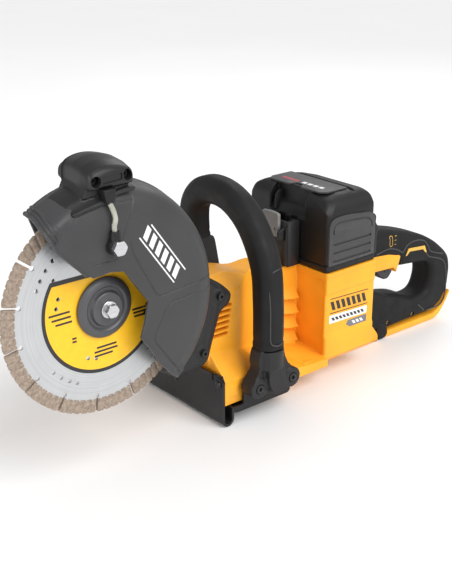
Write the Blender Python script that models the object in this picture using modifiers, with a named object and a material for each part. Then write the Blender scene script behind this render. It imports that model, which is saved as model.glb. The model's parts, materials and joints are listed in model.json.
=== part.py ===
"""Battery-powered rescue cut-off saw with a 230 mm diamond blade.

Every size is in millimetres and is turned into metres where an object is made.
The datum is the centre of the blade's outer face: +X points forward, +Y to the
operator's left (the blade side) and +Z up. The saw stands on the hook of its
skid plate and on the base of its rear handle.
"""
import math

import bmesh
import bpy
from mathutils import Vector

MM = 0.001

# Where the datum lies over the middle of the saw's footprint
DATUM_X = 265.704
DATUM_Y = 66.0
DATUM_Z = 202.6

# Driving dimensions
GAP = 0.3                       # clearance between neighbouring pieces
BLADE_RADIUS = 115.0
BLADE_THICKNESS = 2.4
SEGMENTS = 15
SLOT_PHASE = 1.3                # turn of the blade at rest, in degrees
ARBOR_RADIUS = 12.9
FLANGE_RADIUS = 32.0
SPINDLE_RADIUS = 10.0
BOLT_RADIUS = 5.0

GEAR_FACE = (-42.0, -32.0)      # where the gears lie across the saw
SPINDLE_TEETH = 36
IDLER_TEETH = 40
PINION_TEETH = 10
GEAR_MODULE = 1.88
GEAR_CLEARANCE = 1.1            # between the tip circles of meshing gears
ARM_ANGLE = math.radians(207.7)  # direction from the spindle to the motor

GUARD_RADIUS = 130.0
GUARD_WALL = 2.6
GUARD_FACE = 28.0
GUARD_BACK = -14.6
GUARD_PIVOT_RADIUS = 28.0

CENTRE = -98.0                  # middle of the battery and the rear housing
SIDE_LEFT = -22.0
SIDE_RIGHT = 2.0 * CENTRE - SIDE_LEFT
WAIST_LEFT = -44.0              # the narrower housing ahead of the battery
WAIST_RIGHT = -106.0
HOUSING_WALL = 3.0
HOUSING_TOP = -56.0
HOUSING_FRONT = -343.0
HOUSING_REAR = -432.0
HOUSING_BASE = -178.0

BATTERY_FRONT = -344.3
BATTERY_REAR = -429.0
BATTERY_TOP = 39.0
BATTERY_LEFT = -26.0
BATTERY_RIGHT = 2.0 * CENTRE - BATTERY_LEFT

HANDLE_PLANE = -225.0           # the front handle's loop lies across the saw here
HANDLE_TUBE_RADIUS = 11.5
HANDLE_GRIP_RADIUS = 17.0

REAR_MID = -86.0                # middle plane of the rear handle
REAR_HALF = 21.0
GROUND = -202.6

GEAR_COVER_SCREWS = ((-163.0, -35.0), (-139.0, -98.0))
FOOT_SCREWS = {"foot_screw_front": (-204.0, -155.5), "foot_screw_rear": (-256.0, -156.0)}
WATER_AT = (4.0, 73.0)          # the water fitting on the guard's face

TRIGGER_PIVOT = (-497.0, -86.0)
LOCK_PIVOT = (-478.0, -86.0)
LATCH_PIVOT = (-318.3, -14.0)

PARTS = "rescue_saw"
CUTTERS = "cutters"


# ---------------------------------------------------------------- helpers

def new_collection(name):
    group = bpy.data.collections.new(name)
    bpy.context.scene.collection.children.link(group)
    return group


def finish(name, colour, roughness, metallic=0.0):
    look = bpy.data.materials.new(name)
    look.use_nodes = True
    shader = look.node_tree.nodes["Principled BSDF"]
    shader.inputs["Base Color"].default_value = (*colour, 1.0)
    shader.inputs["Roughness"].default_value = roughness
    shader.inputs["Metallic"].default_value = metallic
    return look


def place(item, pivot, look):
    """Put an object in the parts' collection at a point given in millimetres."""
    bpy.data.collections[PARTS].objects.link(item)
    item.parent = bpy.data.objects["datum"]
    item.location = Vector(pivot) * MM
    item.data.materials.clear()
    item.data.materials.append(bpy.data.materials[look])
    return item


def hide_cutter(item):
    bpy.data.collections[PARTS].objects.unlink(item)
    bpy.data.collections[CUTTERS].objects.link(item)
    item.hide_render = True
    item.display_type = "WIRE"
    return item


def smooth(item, angle=35.0):
    item.data.shade_smooth()
    item.data.set_sharp_from_angle(angle=math.radians(angle))


def arc(centre, radius, start, stop, steps):
    """Points on an arc, with its angles in degrees."""
    turns = [math.radians(start + (stop - start) * i / steps) for i in range(steps + 1)]
    return [(centre[0] + radius * math.cos(t), centre[1] + radius * math.sin(t)) for t in turns]


def fillet(points, radius, steps=3):
    """Round every corner of a closed outline; a third value overrides the radius."""
    rounded = []
    for i, point in enumerate(points):
        here = Vector(point[:2])
        size = point[2] if len(point) > 2 else radius
        before = Vector(points[i - 1][:2]) - here
        after = Vector(points[(i + 1) % len(points)][:2]) - here
        reach = min(size, 0.45 * before.length, 0.45 * after.length)
        if reach < 0.2:
            rounded.append(tuple(here))
            continue
        start = here + before.normalized() * reach
        stop = here + after.normalized() * reach
        for k in range(steps + 1):
            t = k / steps
            rounded.append(tuple((1 - t) ** 2 * start + 2 * t * (1 - t) * here + t * t * stop))
    return rounded


def curve_to_mesh(item, name):
    """Replace a curve object by the mesh it makes, with its caps welded on."""
    bpy.context.view_layer.update()
    graph = bpy.context.evaluated_depsgraph_get()
    mesh = bpy.data.meshes.new_from_object(item.evaluated_get(graph))
    work = bmesh.new()
    work.from_mesh(mesh)
    bmesh.ops.remove_doubles(work, verts=work.verts, dist=0.00002)
    bmesh.ops.recalc_face_normals(work, faces=work.faces)
    work.to_mesh(mesh)
    work.free()
    solid = bpy.data.objects.new(name, mesh)
    solid.matrix_world = item.matrix_world
    bpy.data.objects.remove(item, do_unlink=True)
    return solid


AXIS_TURNS = {
    "X": (math.radians(90), 0.0, math.radians(90)),
    "Y": (math.radians(90), 0.0, 0.0),
    "Z": (0.0, 0.0, 0.0),
}


def prism(name, outlines, low, high, look, axis="Y", pivot=(0.0, 0.0)):
    """Extrude closed outlines (the first is outside, the rest are holes) along an axis.

    The outlines are in the plane across the axis: (X, Z) for Y, (Y, Z) for X and
    (X, Y) for Z. The pivot, in the same plane, becomes the object's origin.
    """
    if not isinstance(outlines[0], list):
        outlines = [outlines]
    curve = bpy.data.curves.new(name, "CURVE")
    curve.dimensions = "2D"
    curve.fill_mode = "BOTH"
    curve.extrude = (high - low) / 2 * MM
    for outline in outlines:
        spline = curve.splines.new("POLY")
        spline.points.add(len(outline) - 1)
        spline.use_cyclic_u = True
        for node, point in zip(spline.points, outline):
            node.co = ((point[0] - pivot[0]) * MM, (point[1] - pivot[1]) * MM, 0.0, 1.0)
    draft = bpy.data.objects.new(name + "_curve", curve)
    bpy.context.scene.collection.objects.link(draft)
    solid = curve_to_mesh(draft, name)
    middle = (low + high) / 2
    spots = {"X": (middle, *pivot), "Y": (pivot[0], middle, pivot[1]), "Z": (*pivot, middle)}
    place(solid, spots[axis], look)
    solid.rotation_euler = AXIS_TURNS[axis]
    return solid


def turned(name, profile, look, pivot=(0.0, 0.0, 0.0), ring=False, steps=32, axis="Y"):
    """Turn a profile of (radius, height) points, listed down its outer side."""
    mesh = bpy.data.meshes.new(name)
    verts = [(r * MM, 0.0, h * MM) for r, h in profile]
    edges = [(i, i + 1) for i in range(len(verts) - 1)]
    if ring:
        edges.append((len(verts) - 1, 0))
    mesh.from_pydata(verts, edges, [])
    solid = bpy.data.objects.new(name, mesh)
    place(solid, pivot, look)
    turns = {"Y": (math.radians(-90), 0.0, 0.0), "Z": (0.0, 0.0, 0.0), "X": (0.0, math.radians(90), 0.0)}
    solid.rotation_euler = turns[axis]
    screw = solid.modifiers.new("turn", "SCREW")
    screw.steps = steps
    screw.render_steps = steps
    screw.use_merge_vertices = True
    screw.merge_threshold = 0.00001
    screw.use_smooth_shade = True
    return solid


def box(name, x_range, y_range, z_range, look):
    bpy.ops.mesh.primitive_cube_add(size=1.0)
    solid = bpy.context.object
    for group in list(solid.users_collection):
        group.objects.unlink(solid)
    solid.name = name
    solid.data.name = name
    ranges = (x_range, y_range, z_range)
    for vert in solid.data.vertices:
        vert.co = [vert.co[i] * abs(ranges[i][1] - ranges[i][0]) * MM for i in range(3)]
    return place(solid, [sum(pair) / 2 for pair in ranges], look)


def rod(name, radius, low, high, look, axis="Y", at=(0.0, 0.0), sides=16):
    """A plain round or many-sided bar between two places along an axis."""
    outline = arc(at, radius, 0, 360 * (sides - 1) / sides, sides - 1)
    return prism(name, outline, low, high, look, axis, at)


def boolean(body, other, operation):
    step = body.modifiers.new(operation.lower(), "BOOLEAN")
    step.operation = operation
    step.object = hide_cutter(other)
    return body


def cut(body, other):
    return boolean(body, other, "DIFFERENCE")


def join(body, other):
    return boolean(body, other, "UNION")


def soften(body, width, segments=2, angle=50.0):
    """Round the sharp edges of a solid."""
    step = body.modifiers.new("soften", "BEVEL")
    step.width = width * MM
    step.segments = segments
    step.limit_method = "ANGLE"
    step.angle_limit = math.radians(angle)
    return body


def tube(name, points, radius, look, closed_ends=True, sides_level=2, pivot=(0.0, 0.0, 0.0)):
    """A bar that follows a list of points."""
    curve = bpy.data.curves.new(name, "CURVE")
    curve.dimensions = "3D"
    curve.bevel_depth = radius * MM
    curve.bevel_resolution = sides_level
    curve.use_fill_caps = closed_ends
    spline = curve.splines.new("POLY")
    spline.points.add(len(points) - 1)
    for node, point in zip(spline.points, points):
        node.co = (*((Vector(point) - Vector(pivot)) * MM), 1.0)
    draft = bpy.data.objects.new(name + "_curve", curve)
    bpy.context.scene.collection.objects.link(draft)
    solid = curve_to_mesh(draft, name)
    place(solid, pivot, look)
    smooth(solid)
    return solid


def spline_through(points, pieces):
    """Catmull-Rom curve through points, with so many pieces between each pair."""
    ends = [Vector(points[0]) * 2 - Vector(points[1])]
    ends += [Vector(p) for p in points]
    ends.append(Vector(points[-1]) * 2 - Vector(points[-2]))
    path = []
    for i in range(1, len(ends) - 2):
        a, b, c, d = ends[i - 1:i + 3]
        for k in range(pieces):
            t = k / pieces
            path.append(0.5 * (2 * b + (c - a) * t + (2 * a - 5 * b + 4 * c - d) * t * t
                               + (3 * b - a - 3 * c + d) * t ** 3))
    path.append(ends[-2])
    return path


# ---------------------------------------------------------------- materials

def make_finishes():
    finish("yellow", (0.95, 0.42, 0.02), 0.45)
    finish("grey_plastic", (0.075, 0.075, 0.08), 0.5)
    finish("black_plastic", (0.02, 0.02, 0.022), 0.5)
    finish("rubber", (0.015, 0.015, 0.016), 0.7)
    finish("black_steel", (0.03, 0.03, 0.032), 0.45, 0.3)
    finish("dark_metal", (0.09, 0.09, 0.095), 0.4, 0.6)
    finish("steel", (0.6, 0.6, 0.62), 0.3, 1.0)
    finish("latch_grey", (0.3, 0.3, 0.3), 0.5)
    finish("copper", (0.55, 0.25, 0.12), 0.4, 1.0)
    finish("clear_tube", (0.75, 0.76, 0.72), 0.15)
    finish("board", (0.02, 0.12, 0.06), 0.5)


# ---------------------------------------------------------------- blade and drive

def blade_outline():
    """Cutting segments parted by keyhole slots."""
    slot_half = 1.3
    hole_radius = 2.8
    hole_centre = 96.5
    pitch = 360.0 / SEGMENTS
    edge = math.degrees(slot_half / BLADE_RADIUS)
    points = []
    for i in range(SEGMENTS):
        middle = i * pitch + SLOT_PHASE
        points += arc((0, 0), BLADE_RADIUS, middle - pitch / 2 + edge, middle + pitch / 2 - edge, 3)
        axis = math.radians(middle + pitch / 2)
        along = Vector((math.cos(axis), math.sin(axis)))
        side = Vector((-along.y, along.x))
        for turn in (24, 110, 180, 250, 336):
            t = math.radians(turn)
            spot = along * (hole_centre + hole_radius * math.cos(t)) - side * hole_radius * math.sin(t)
            points.append(tuple(spot))
    return points


def make_blade():
    bore = arc((0, 0), ARBOR_RADIUS, 0, 345, 23)
    prism("diamond_blade", [blade_outline(), bore], -BLADE_THICKNESS, 0.0, "steel")
    turned("outer_flange", [(11.0, 9.2), (17.0, 9.2), (18.5, 7.0), (27.0, 7.0), (FLANGE_RADIUS, 3.6),
                            (FLANGE_RADIUS, GAP), (5.5, GAP), (5.5, 9.2)], "dark_metal", ring=True)
    turned("inner_flange", [(12.5, -0.5), (12.5, -2.7), (FLANGE_RADIUS, -2.7), (FLANGE_RADIUS, -8.5),
                            (SPINDLE_RADIUS + 0.2, -8.5), (SPINDLE_RADIUS + 0.2, -0.5)],
           "dark_metal", ring=True)
    bolt = rod("blade_bolt", 7.6, 11.6, 18.4, "steel", sides=6)
    shank = turned("bolt_shank", [(0.0, 12.0), (9.0, 12.0), (9.0, 9.5), (BOLT_RADIUS, 9.5),
                                  (BOLT_RADIUS, -20.0), (0.0, -20.0)], "steel", steps=24)
    join(bolt, shank)
    turned("spindle", [(0.0, -24.0), (BOLT_RADIUS + 0.2, -24.0), (BOLT_RADIUS + 0.2, -0.6),
                       (SPINDLE_RADIUS, -0.6), (SPINDLE_RADIUS, -54.0), (0.0, -54.0)], "steel")


def gear_outline(teeth, at, phase):
    """A spur gear's outline with straight-sided teeth."""
    tip = teeth * GEAR_MODULE / 2
    root = tip - 2.0 * GEAR_MODULE
    pitch = 2 * math.pi / teeth
    points = []
    for i in range(teeth):
        for share, radius in ((-0.36, root), (-0.14, tip), (0.14, tip), (0.36, root)):
            turn = phase + (i + share) * pitch
            points.append((at[0] + radius * math.cos(turn), at[1] + radius * math.sin(turn)))
    return points


def along_arm(distance):
    return (distance * math.cos(ARM_ANGLE), distance * math.sin(ARM_ANGLE))


SPINDLE_TIP = SPINDLE_TEETH * GEAR_MODULE / 2
IDLER_TIP = IDLER_TEETH * GEAR_MODULE / 2
PINION_TIP = PINION_TEETH * GEAR_MODULE / 2
IDLER_AT = along_arm(SPINDLE_TIP + IDLER_TIP + GEAR_CLEARANCE)
MOTOR_AT = along_arm(SPINDLE_TIP + 2 * IDLER_TIP + PINION_TIP + 2 * GEAR_CLEARANCE)


def make_gears():
    low, high = GEAR_FACE
    hub = arc((0, 0), SPINDLE_RADIUS + 0.2, 0, 337.5, 15)
    prism("spindle_gear", [gear_outline(SPINDLE_TEETH, (0, 0), 0.0), hub], low, high, "steel")
    hub = arc(IDLER_AT, 6.3, 0, 337.5, 15)
    prism("idler_gear", [gear_outline(IDLER_TEETH, IDLER_AT, 0.03), hub], low, high, "steel", pivot=IDLER_AT)
    rotor = rod("rotor_shaft", 5.0, -148.0, -30.5, "steel", at=MOTOR_AT)
    join(rotor, prism("pinion_teeth", gear_outline(PINION_TEETH, MOTOR_AT, 0.0), low, high, "steel",
                      pivot=MOTOR_AT))


def motor_ring(name, inner, outer, low, high, look, at=MOTOR_AT):
    profile = [(outer, high), (outer, low), (inner, low), (inner, high)]
    return turned(name, profile, look, (at[0], 0.0, at[1]), ring=True, steps=24)


def make_motor():
    motor_ring("rotor_core", 5.3, 24.0, -120.0, -76.0, "dark_metal")
    motor_ring("stator", 25.0, 40.0, -122.0, -74.0, "copper")
    motor_ring("motor_bearing_front", 5.3, 13.0, -54.0, -47.0, "steel")
    motor_ring("motor_bearing_rear", 5.3, 13.0, -142.0, -135.0, "steel")
    motor_ring("spindle_bearing_front", SPINDLE_RADIUS + 0.3, 20.0, -27.0, -20.0, "steel", at=(0.0, 0.0))
    motor_ring("spindle_bearing_rear", SPINDLE_RADIUS + 0.3, 20.0, -53.0, -46.5, "steel", at=(0.0, 0.0))
    blades = []
    for i in range(9):
        turn = 40 * i
        blades += arc(MOTOR_AT, 14.0, turn - 12, turn - 4, 1)
        blades += arc(MOTOR_AT, 34.0, turn + 6, turn + 12, 1)
        blades += arc(MOTOR_AT, 14.0, turn + 4, turn + 12, 1)
    hub = arc(MOTOR_AT, 5.3, 0, 337.5, 15)
    prism("cooling_fan", [blades, hub], -70.0, -62.0, "black_plastic", pivot=MOTOR_AT)


def case_outline(grow=0.0):
    """The gear case: round at the spindle, a tall flat end at the motor."""
    nose = arc((0.0, 0.0), 46.0 + grow, 108, -72, 8)
    rear = [(-100, -119 - grow), (-148, -119 - grow), (-162 - grow, -107), (-170 - grow, -80),
            (-186 - grow, -41), (-172 - grow, -27 + grow), (-149, -12 + grow), (-120, -8 + grow)]
    return nose + rear


def make_gear_case():
    case = prism("gear_case", case_outline(), -57.0, -28.3, "dark_metal")
    cut(case, prism("case_hollow", case_outline(-4.0), -45.0, -20.0, "steel"))
    cut(case, rod("case_spindle_bore", 20.4, -55.5, -40.0, "steel", sides=28))
    cut(case, rod("case_bearing_bore", 13.4, -55.5, -40.0, "steel", at=MOTOR_AT, sides=24))
    cut(case, rod("case_shaft_bore", 6.5, -60.0, -40.0, "steel", at=MOTOR_AT))
    join(case, rod("idler_pin", 6.0, -46.0, -30.0, "steel", at=IDLER_AT))

    cover = prism("gear_cover", case_outline(), -28.0, -16.6, "black_plastic")
    for spot in GEAR_COVER_SCREWS:
        join(cover, rod("cover_boss", 8.3, -27.2, -14.0, "black_plastic", at=spot, sides=14))
    join(cover, rod("guard_boss", GUARD_PIVOT_RADIUS, -18.3, -9.4, "black_plastic", sides=32))
    bore = [(0.0, -5.0), (11.3, -5.0), (11.3, -19.7), (20.3, -19.7), (20.3, -31.0), (0.0, -31.0)]
    cut(cover, turned("cover_bore", bore, "steel", steps=26))
    for i, spot in enumerate(GEAR_COVER_SCREWS):
        cut(cover, rod("screw_bore", 2.8, -29.0, -12.0, "steel", at=spot, sides=10))
        cap_screw("gear_cover_screw_%d" % (i + 1), spot, -13.7)


def cap_screw(name, at, seat, head=4.2, shank=2.5, length=11.0, look="steel"):
    """A socket-head screw along Y whose head sits on the seat."""
    profile = [(2.0, seat + 4.0), (head, seat + 4.0), (head, seat), (shank, seat),
               (shank, seat - length), (0.0, seat - length)]
    profile = [(0.0, seat + 1.5), (2.0, seat + 1.5)] + profile
    return turned(name, profile, look, (at[0], 0.0, at[1]), steps=12)


# ---------------------------------------------------------------- housings

def make_motor_housing():
    low, high = -152.0, -57.4
    profile = [(47.0, high), (47.0, low + 8.0), (41.0, low), (8.0, low), (8.0, low + 4.0),
               (39.0, low + 4.0), (43.0, low + 9.5), (43.0, high)]
    turned("motor_housing", profile, "yellow", (MOTOR_AT[0], 0.0, MOTOR_AT[1]), ring=True, steps=36)


def waist_outline(inset=0.0):
    """Side view of the housing between the motor and the battery."""
    i = inset
    return fillet([(-163.0 - i, -33.0 - i), (-163.0 - i, -120.0 + i), (-171.0 - i, -128.0 + i),
                   (-178.0 - i, HOUSING_BASE + i), (-350.0, HOUSING_BASE + i), (-350.0, HOUSING_TOP - i),
                   (-300.0 + i, HOUSING_TOP - i), (-286.0 + i, -41.0 - i), (-232.0, -36.0 - i)], 6.0, 2)


def waist_skirt(name, section, low, high):
    """Skirt that widens the foot of the waist towards the blade side, from its front view."""
    corners = [(section[0][0], HOUSING_BASE)] + section + [(section[-1][0], HOUSING_BASE)]
    return prism(name, corners, low, high, "yellow", axis="X")


def block_outline(inset=0.0):
    """Side view of the housing under the battery."""
    i = inset
    return [(HOUSING_FRONT - i, HOUSING_TOP - i), (HOUSING_FRONT - i, HOUSING_BASE + i),
            (HOUSING_REAR + i, HOUSING_BASE + i), (HOUSING_REAR + i, HOUSING_TOP - i)]


def waist_chamfer():
    """Wedge that slopes the top of the waist down to the blade side."""
    corner = [(WAIST_LEFT + 5.0, -30.0), (WAIST_LEFT + 5.0, -56.0), (WAIST_LEFT - 28.0, -30.0)]
    return prism("waist_chamfer", corner, -345.0, -150.0, "yellow", axis="X")


def waist_valley():
    """Hollow between the front handle and the battery, seen from above."""
    corners = [(-220.0, -30.0), (-220.0, -42.5), (-268.0, -78.0), (-354.0, -78.0), (-354.0, -30.0)]
    return prism("waist_valley", corners, -168.0, 0.0, "yellow", axis="Z")


def make_housings():
    wall = HOUSING_WALL
    left = prism("left_housing", waist_outline(), CENTRE, WAIST_LEFT, "yellow")
    cut(left, waist_chamfer())
    cut(left, waist_valley())
    join(left, waist_skirt("front_skirt", [(WAIST_LEFT - 2.0, -118.0), (-16.0, -146.0)], -224.0, -174.0))
    join(left, waist_skirt("rear_skirt", [(-84.0, -152.0), (-16.5, -166.0)], -348.0, -218.0))
    join(left, prism("left_block", block_outline(), CENTRE, SIDE_LEFT, "yellow"))
    cut(left, prism("left_hollow", block_outline(wall), CENTRE - 5.0, SIDE_LEFT - wall, "yellow"))
    cut(left, prism("left_waist_hollow", waist_outline(wall), CENTRE - 5.0, WAIST_LEFT - 37.0, "yellow"))
    cut(left, clearance_bore())

    right = prism("right_housing", waist_outline(), WAIST_RIGHT, CENTRE - GAP, "yellow")
    join(right, prism("right_block", block_outline(), SIDE_RIGHT, CENTRE - GAP, "yellow"))
    cut(right, prism("right_hollow", block_outline(wall), SIDE_RIGHT + wall, CENTRE + 5.0, "yellow"))
    cut(right, prism("right_waist_hollow", waist_outline(wall), WAIST_RIGHT + wall, CENTRE + 5.0, "yellow"))
    cut(right, clearance_bore())

    box("controller", (-424.0, -352.0), (-140.0, -56.0), (-150.0, -104.0), "board")


def clearance_bore():
    """Round space that the waist leaves for the motor and the gear case."""
    drum = rod("drum_space", 47.6, -160.0, -56.9, "yellow", at=MOTOR_AT, sides=36)
    join(drum, prism("case_space", case_outline(0.5), -57.5, -10.0, "yellow"))
    return drum


# ---------------------------------------------------------------- battery and dock

def dock_outline():
    """Plan of the dock's tower, with the slot that holds the battery's rail."""
    front, back = -323.0, -342.2
    half = [(front, 25.0), (back, 25.0), (back, 12.6), (-338.6, 12.6), (-338.6, 17.6), (-328.4, 17.6)]
    return [(x, CENTRE + y) for x, y in half] + [(x, CENTRE - y) for x, y in reversed(half)]


def make_dock():
    dock = prism("battery_dock", dock_outline(), HOUSING_TOP + GAP, 2.0, "black_plastic", axis="Z")
    for side in (-1.0, 1.0):
        near = CENTRE + side * 15.6
        ear = fillet([(-325.0, -21.0), (-325.0, -5.0), (-312.0, -9.0), (-312.0, -19.0)], 3.0, 2)
        join(dock, prism("latch_ear", ear, min(near, near + side * 4), max(near, near + side * 4),
                         "black_plastic"))
    join(dock, rod("latch_axle", 2.0, CENTRE - 18.0, CENTRE + 18.0, "steel", at=LATCH_PIVOT, sides=12))

    x, z = LATCH_PIVOT
    lever = [(x - 4.0, 14.0), (x - 4.0, z)] + arc((x, z), 4.0, 195, 345, 5) + [(x + 4.0, z), (x + 2.0, 14.0)]
    latch = prism("battery_latch", [lever, arc((x, z), 2.3, 0, 330, 11)], CENTRE - 15.0, CENTRE + 15.0,
                  "latch_grey", pivot=LATCH_PIVOT)
    smooth(latch)


def battery_shell(name, inset, base, look):
    """A block with a rounded top, standing on its base."""
    shell = box(name, (BATTERY_REAR + inset, BATTERY_FRONT - inset),
                (BATTERY_RIGHT + inset, BATTERY_LEFT - inset), (base, BATTERY_TOP - inset), look)
    top = max(vert.co.z for vert in shell.data.vertices)
    weights = shell.data.attributes.new("bevel_weight_edge", "FLOAT", "EDGE")
    for edge in shell.data.edges:
        ends = [shell.data.vertices[i].co for i in edge.vertices]
        if min(end.z for end in ends) > top - 0.0001:
            along_y = abs(ends[0].y - ends[1].y) > 0.001
            weights.data[edge.index].value = 0.62 if along_y else 1.0
        elif abs(ends[0].z - ends[1].z) > 0.001:
            weights.data[edge.index].value = 0.3
    step = shell.modifiers.new("round_top", "BEVEL")
    step.limit_method = "WEIGHT"
    step.width = 24.0 * MM
    step.segments = 4
    return shell


def panel_outline():
    """The grooved side panel: straight below, arched above."""
    return [(-346.5, -47.5), (-346.5, -2.0)] + arc((-362.0, -2.0), 15.5, 20, 80, 3) + \
        arc((-412.0, -2.0), 15.5, 95, 180, 3) + [(-427.5, -47.5)]


def make_battery():
    case = battery_shell("battery_case", 0.0, -48.0, "black_plastic")
    cut(case, battery_shell("case_inside", 3.0, -52.0, "black_plastic"))
    smooth(case)

    base = box("battery_base", (BATTERY_REAR - 2.0, BATTERY_FRONT + 1.7),
               (BATTERY_RIGHT - 2.5, BATTERY_LEFT + 2.5), (-55.5, -48.3), "black_plastic")
    join(base, prism("battery_rail", rail_outline(), -55.5, -9.0, "black_plastic", axis="Z"))
    box("cell_pack", (BATTERY_REAR + 8.0, BATTERY_FRONT - 8.0), (BATTERY_RIGHT + 8.0, BATTERY_LEFT - 8.0),
        (-48.0, 14.0), "board")

    half = [(-364.0, 6.0), (-354.0, 10.0), (-354.0, 44.0), (-362.0, 52.0), (-398.0, 52.0)]
    plate = [(x, CENTRE + y) for x, y in half] + [(x, CENTRE - y) for x, y in reversed(half)]
    prism("battery_top_plate", plate, BATTERY_TOP + GAP, BATTERY_TOP + 1.6, "latch_grey", axis="Z")
    prism("battery_panel_left", panel_outline(), BATTERY_LEFT + GAP, BATTERY_LEFT + 2.3, "grey_plastic")
    prism("battery_panel_right", panel_outline(), BATTERY_RIGHT - 2.3, BATTERY_RIGHT - GAP, "grey_plastic")


def rail_outline():
    """Plan of the rail that slides down the dock."""
    half = [(BATTERY_FRONT + 0.4, 12.0), (-338.0, 12.0), (-338.0, 17.0), (-329.0, 17.0)]
    return [(x, CENTRE + y) for x, y in half] + [(x, CENTRE - y) for x, y in reversed(half)]


# ---------------------------------------------------------------- rear handle

def grip_outer():
    """Side view of the rear handle; corners that meet the trim stay square."""
    square = 0.1
    return [(-452.5, -42.0), (-452.5, -58.0, square), (-432.3, -58.0), (-432.3, -177.0), (-462.0, -196.0),
            (-473.0, -201.5), (-485.0, -201.5, 1.0), (-490.0, -191.0, square), (-612.0, -190.0, square),
            (-630.0, -181.0, square), (-645.5, -161.0, square), (-646.0, -128.0), (-642.0, -111.0),
            (-634.0, -101.5), (-612.0, -83.5), (-583.0, -67.5), (-546.0, -54.0), (-512.0, -45.0),
            (-490.0, -40.0)]


def grip_opening():
    """Side view of the space for the hand; its upper corners meet the cheek square."""
    square = 0.1
    return fillet([(-440.0, -78.0, square), (-440.0, -116.0), (-470.0, -122.0), (-499.0, -134.0),
                   (-541.0, -147.0), (-563.0, -158.0), (-582.0, -154.0), (-588.0, -132.0), (-585.0, -110.0),
                   (-558.0, -106.0), (-535.0, -101.0), (-526.0, -92.0), (-523.0, -78.0, square)], 6.0, 2)


def make_rear_handle():
    halves = {"rear_handle_left": (REAR_MID + GAP / 2, REAR_MID + REAR_HALF),
              "rear_handle_right": (REAR_MID - REAR_HALF, REAR_MID - GAP / 2)}
    slot = (REAR_MID - 9.5, REAR_MID + 9.5)
    for name, (low, high) in halves.items():
        half = prism(name, [fillet(grip_outer(), 5.0, 2), grip_opening()], low, high, "black_plastic")
        cut(half, box("switch_pocket", (-538.0, -450.0), slot, (-110.0, -60.0), "black_plastic"))

    cheek = fillet([(-440.5, -78.4), (-440.5, -97.0), (-520.0, -99.0), (-524.5, -92.0), (-522.5, -78.4)],
                   2.0, 2)
    saddle = prism("handle_cheek", cheek, REAR_MID - REAR_HALF, REAR_MID + REAR_HALF, "yellow")
    cut(saddle, box("cheek_slot", (-530.0, -449.0), slot, (-110.0, -70.0), "yellow"))

    trim = [(-485.6, GROUND), (-490.3, -191.4), (-612.0, -190.4), (-630.5, -181.4), (-645.8, -162.5),
            (-646.3, -165.0), (-640.0, -177.0), (-627.0, -196.5), (-616.0, -201.6), (-578.0, GROUND)]
    prism("handle_trim", trim, REAR_MID - REAR_HALF, REAR_MID + REAR_HALF, "yellow")

    bracket = fillet([(-431.6, -57.6), (-431.6, -4.0), (-438.0, 3.0), (-446.0, -3.0), (-452.0, -18.0),
                      (-452.0, -57.6)], 3.0, 2)
    prism("handle_bracket", bracket, CENTRE - 58.0, CENTRE + 58.0, "black_plastic")
    make_trigger()


def make_trigger():
    half = 8.0
    lever = fillet([(-490.0, -77.0), (-489.5, -94.0), (-500.0, -111.0), (-514.0, -121.0), (-522.0, -121.0),
                    (-530.0, -112.0), (-530.5, -104.0), (-531.0, -77.2)], 3.0, 2)
    prism("trigger", [lever], REAR_MID - half, REAR_MID + half, "grey_plastic", pivot=TRIGGER_PIVOT)
    lock = fillet([(-473.0, -78.0), (-474.0, -96.0), (-481.0, -116.0), (-489.0, -119.0), (-493.0, -113.0),
                   (-488.0, -97.0), (-486.0, -78.0)], 2.5, 2)
    prism("lock_lever", [lock], REAR_MID - half, REAR_MID + half, "black_plastic", pivot=LOCK_PIVOT)
    box("switch_module", (-520.0, -462.0), (REAR_MID - 8.0, REAR_MID + 8.0), (-71.0, -61.0), "board")
    coil_turns = 3
    steps = 8
    points = []
    for i in range(coil_turns * steps + 1):
        turn = 2 * math.pi * i / steps
        points.append((-526.0 + 2.4 * math.cos(turn), REAR_MID + 2.4 * math.sin(turn),
                       -76.0 + 0.62 * i))
    tube("trigger_spring", points, 0.5, "steel", sides_level=1, pivot=(-526.0, REAR_MID, -76.0))


# ---------------------------------------------------------------- skid and front handle

def make_skid():
    thick = 3.0
    near, far = -10.5, -165.0
    # The plate hangs across the saw and ends in a hook that meets the ground
    outer = [(-165.0, -137.5), (-165.0, -192.0)] + arc((-173.5, -194.0), 8.5, -10, -170, 8)
    outer += [(-182.0, -180.0)]
    inner = [(-182.0 + thick, -180.0)] + arc((-173.5, -194.0), 8.5 - thick, -170, -10, 8)
    inner += [(-165.0 - thick, -192.0), (-165.0 - thick, -137.5)]
    plate = prism("skid_plate", outer + inner, far, near, "black_steel")
    cut(plate, box("corner_notch", (-170.0, -160.0), (-29.5, -26.5), (-143.0, -130.0), "black_steel"))
    flange = fillet([(-181.0, -186.0), (-181.0, -180.5), (-197.0, -180.5), (-197.0, -150.0), (-272.0, -150.0),
                     (-272.0, -186.0, 4.0), (-268.0, -188.5), (-186.0, -188.5)], 2.0, 2)
    join(plate, prism("skid_flange", flange, -13.5, near, "black_steel"))
    shelf = [(near, -188.5), (near, -185.5), (-160.0, -185.5), (-160.0, -188.5)]
    join(plate, prism("skid_shelf", shelf, -268.0, -192.0, "black_steel", axis="X"))
    screw_at = (-18.5, -150.0)
    cut(plate, rod("skid_screw_bore", 2.8, -170.0, -160.0, "black_steel", axis="X", at=screw_at, sides=10))
    screw_profile = [(0.0, 3.0), (2.0, 4.0), (4.5, 3.4), (4.5, 0.3), (2.5, 0.3), (2.5, -8.0), (0.0, -8.0)]
    turned("skid_screw", screw_profile, "steel", (-165.0, *screw_at), steps=12, axis="X")


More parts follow.
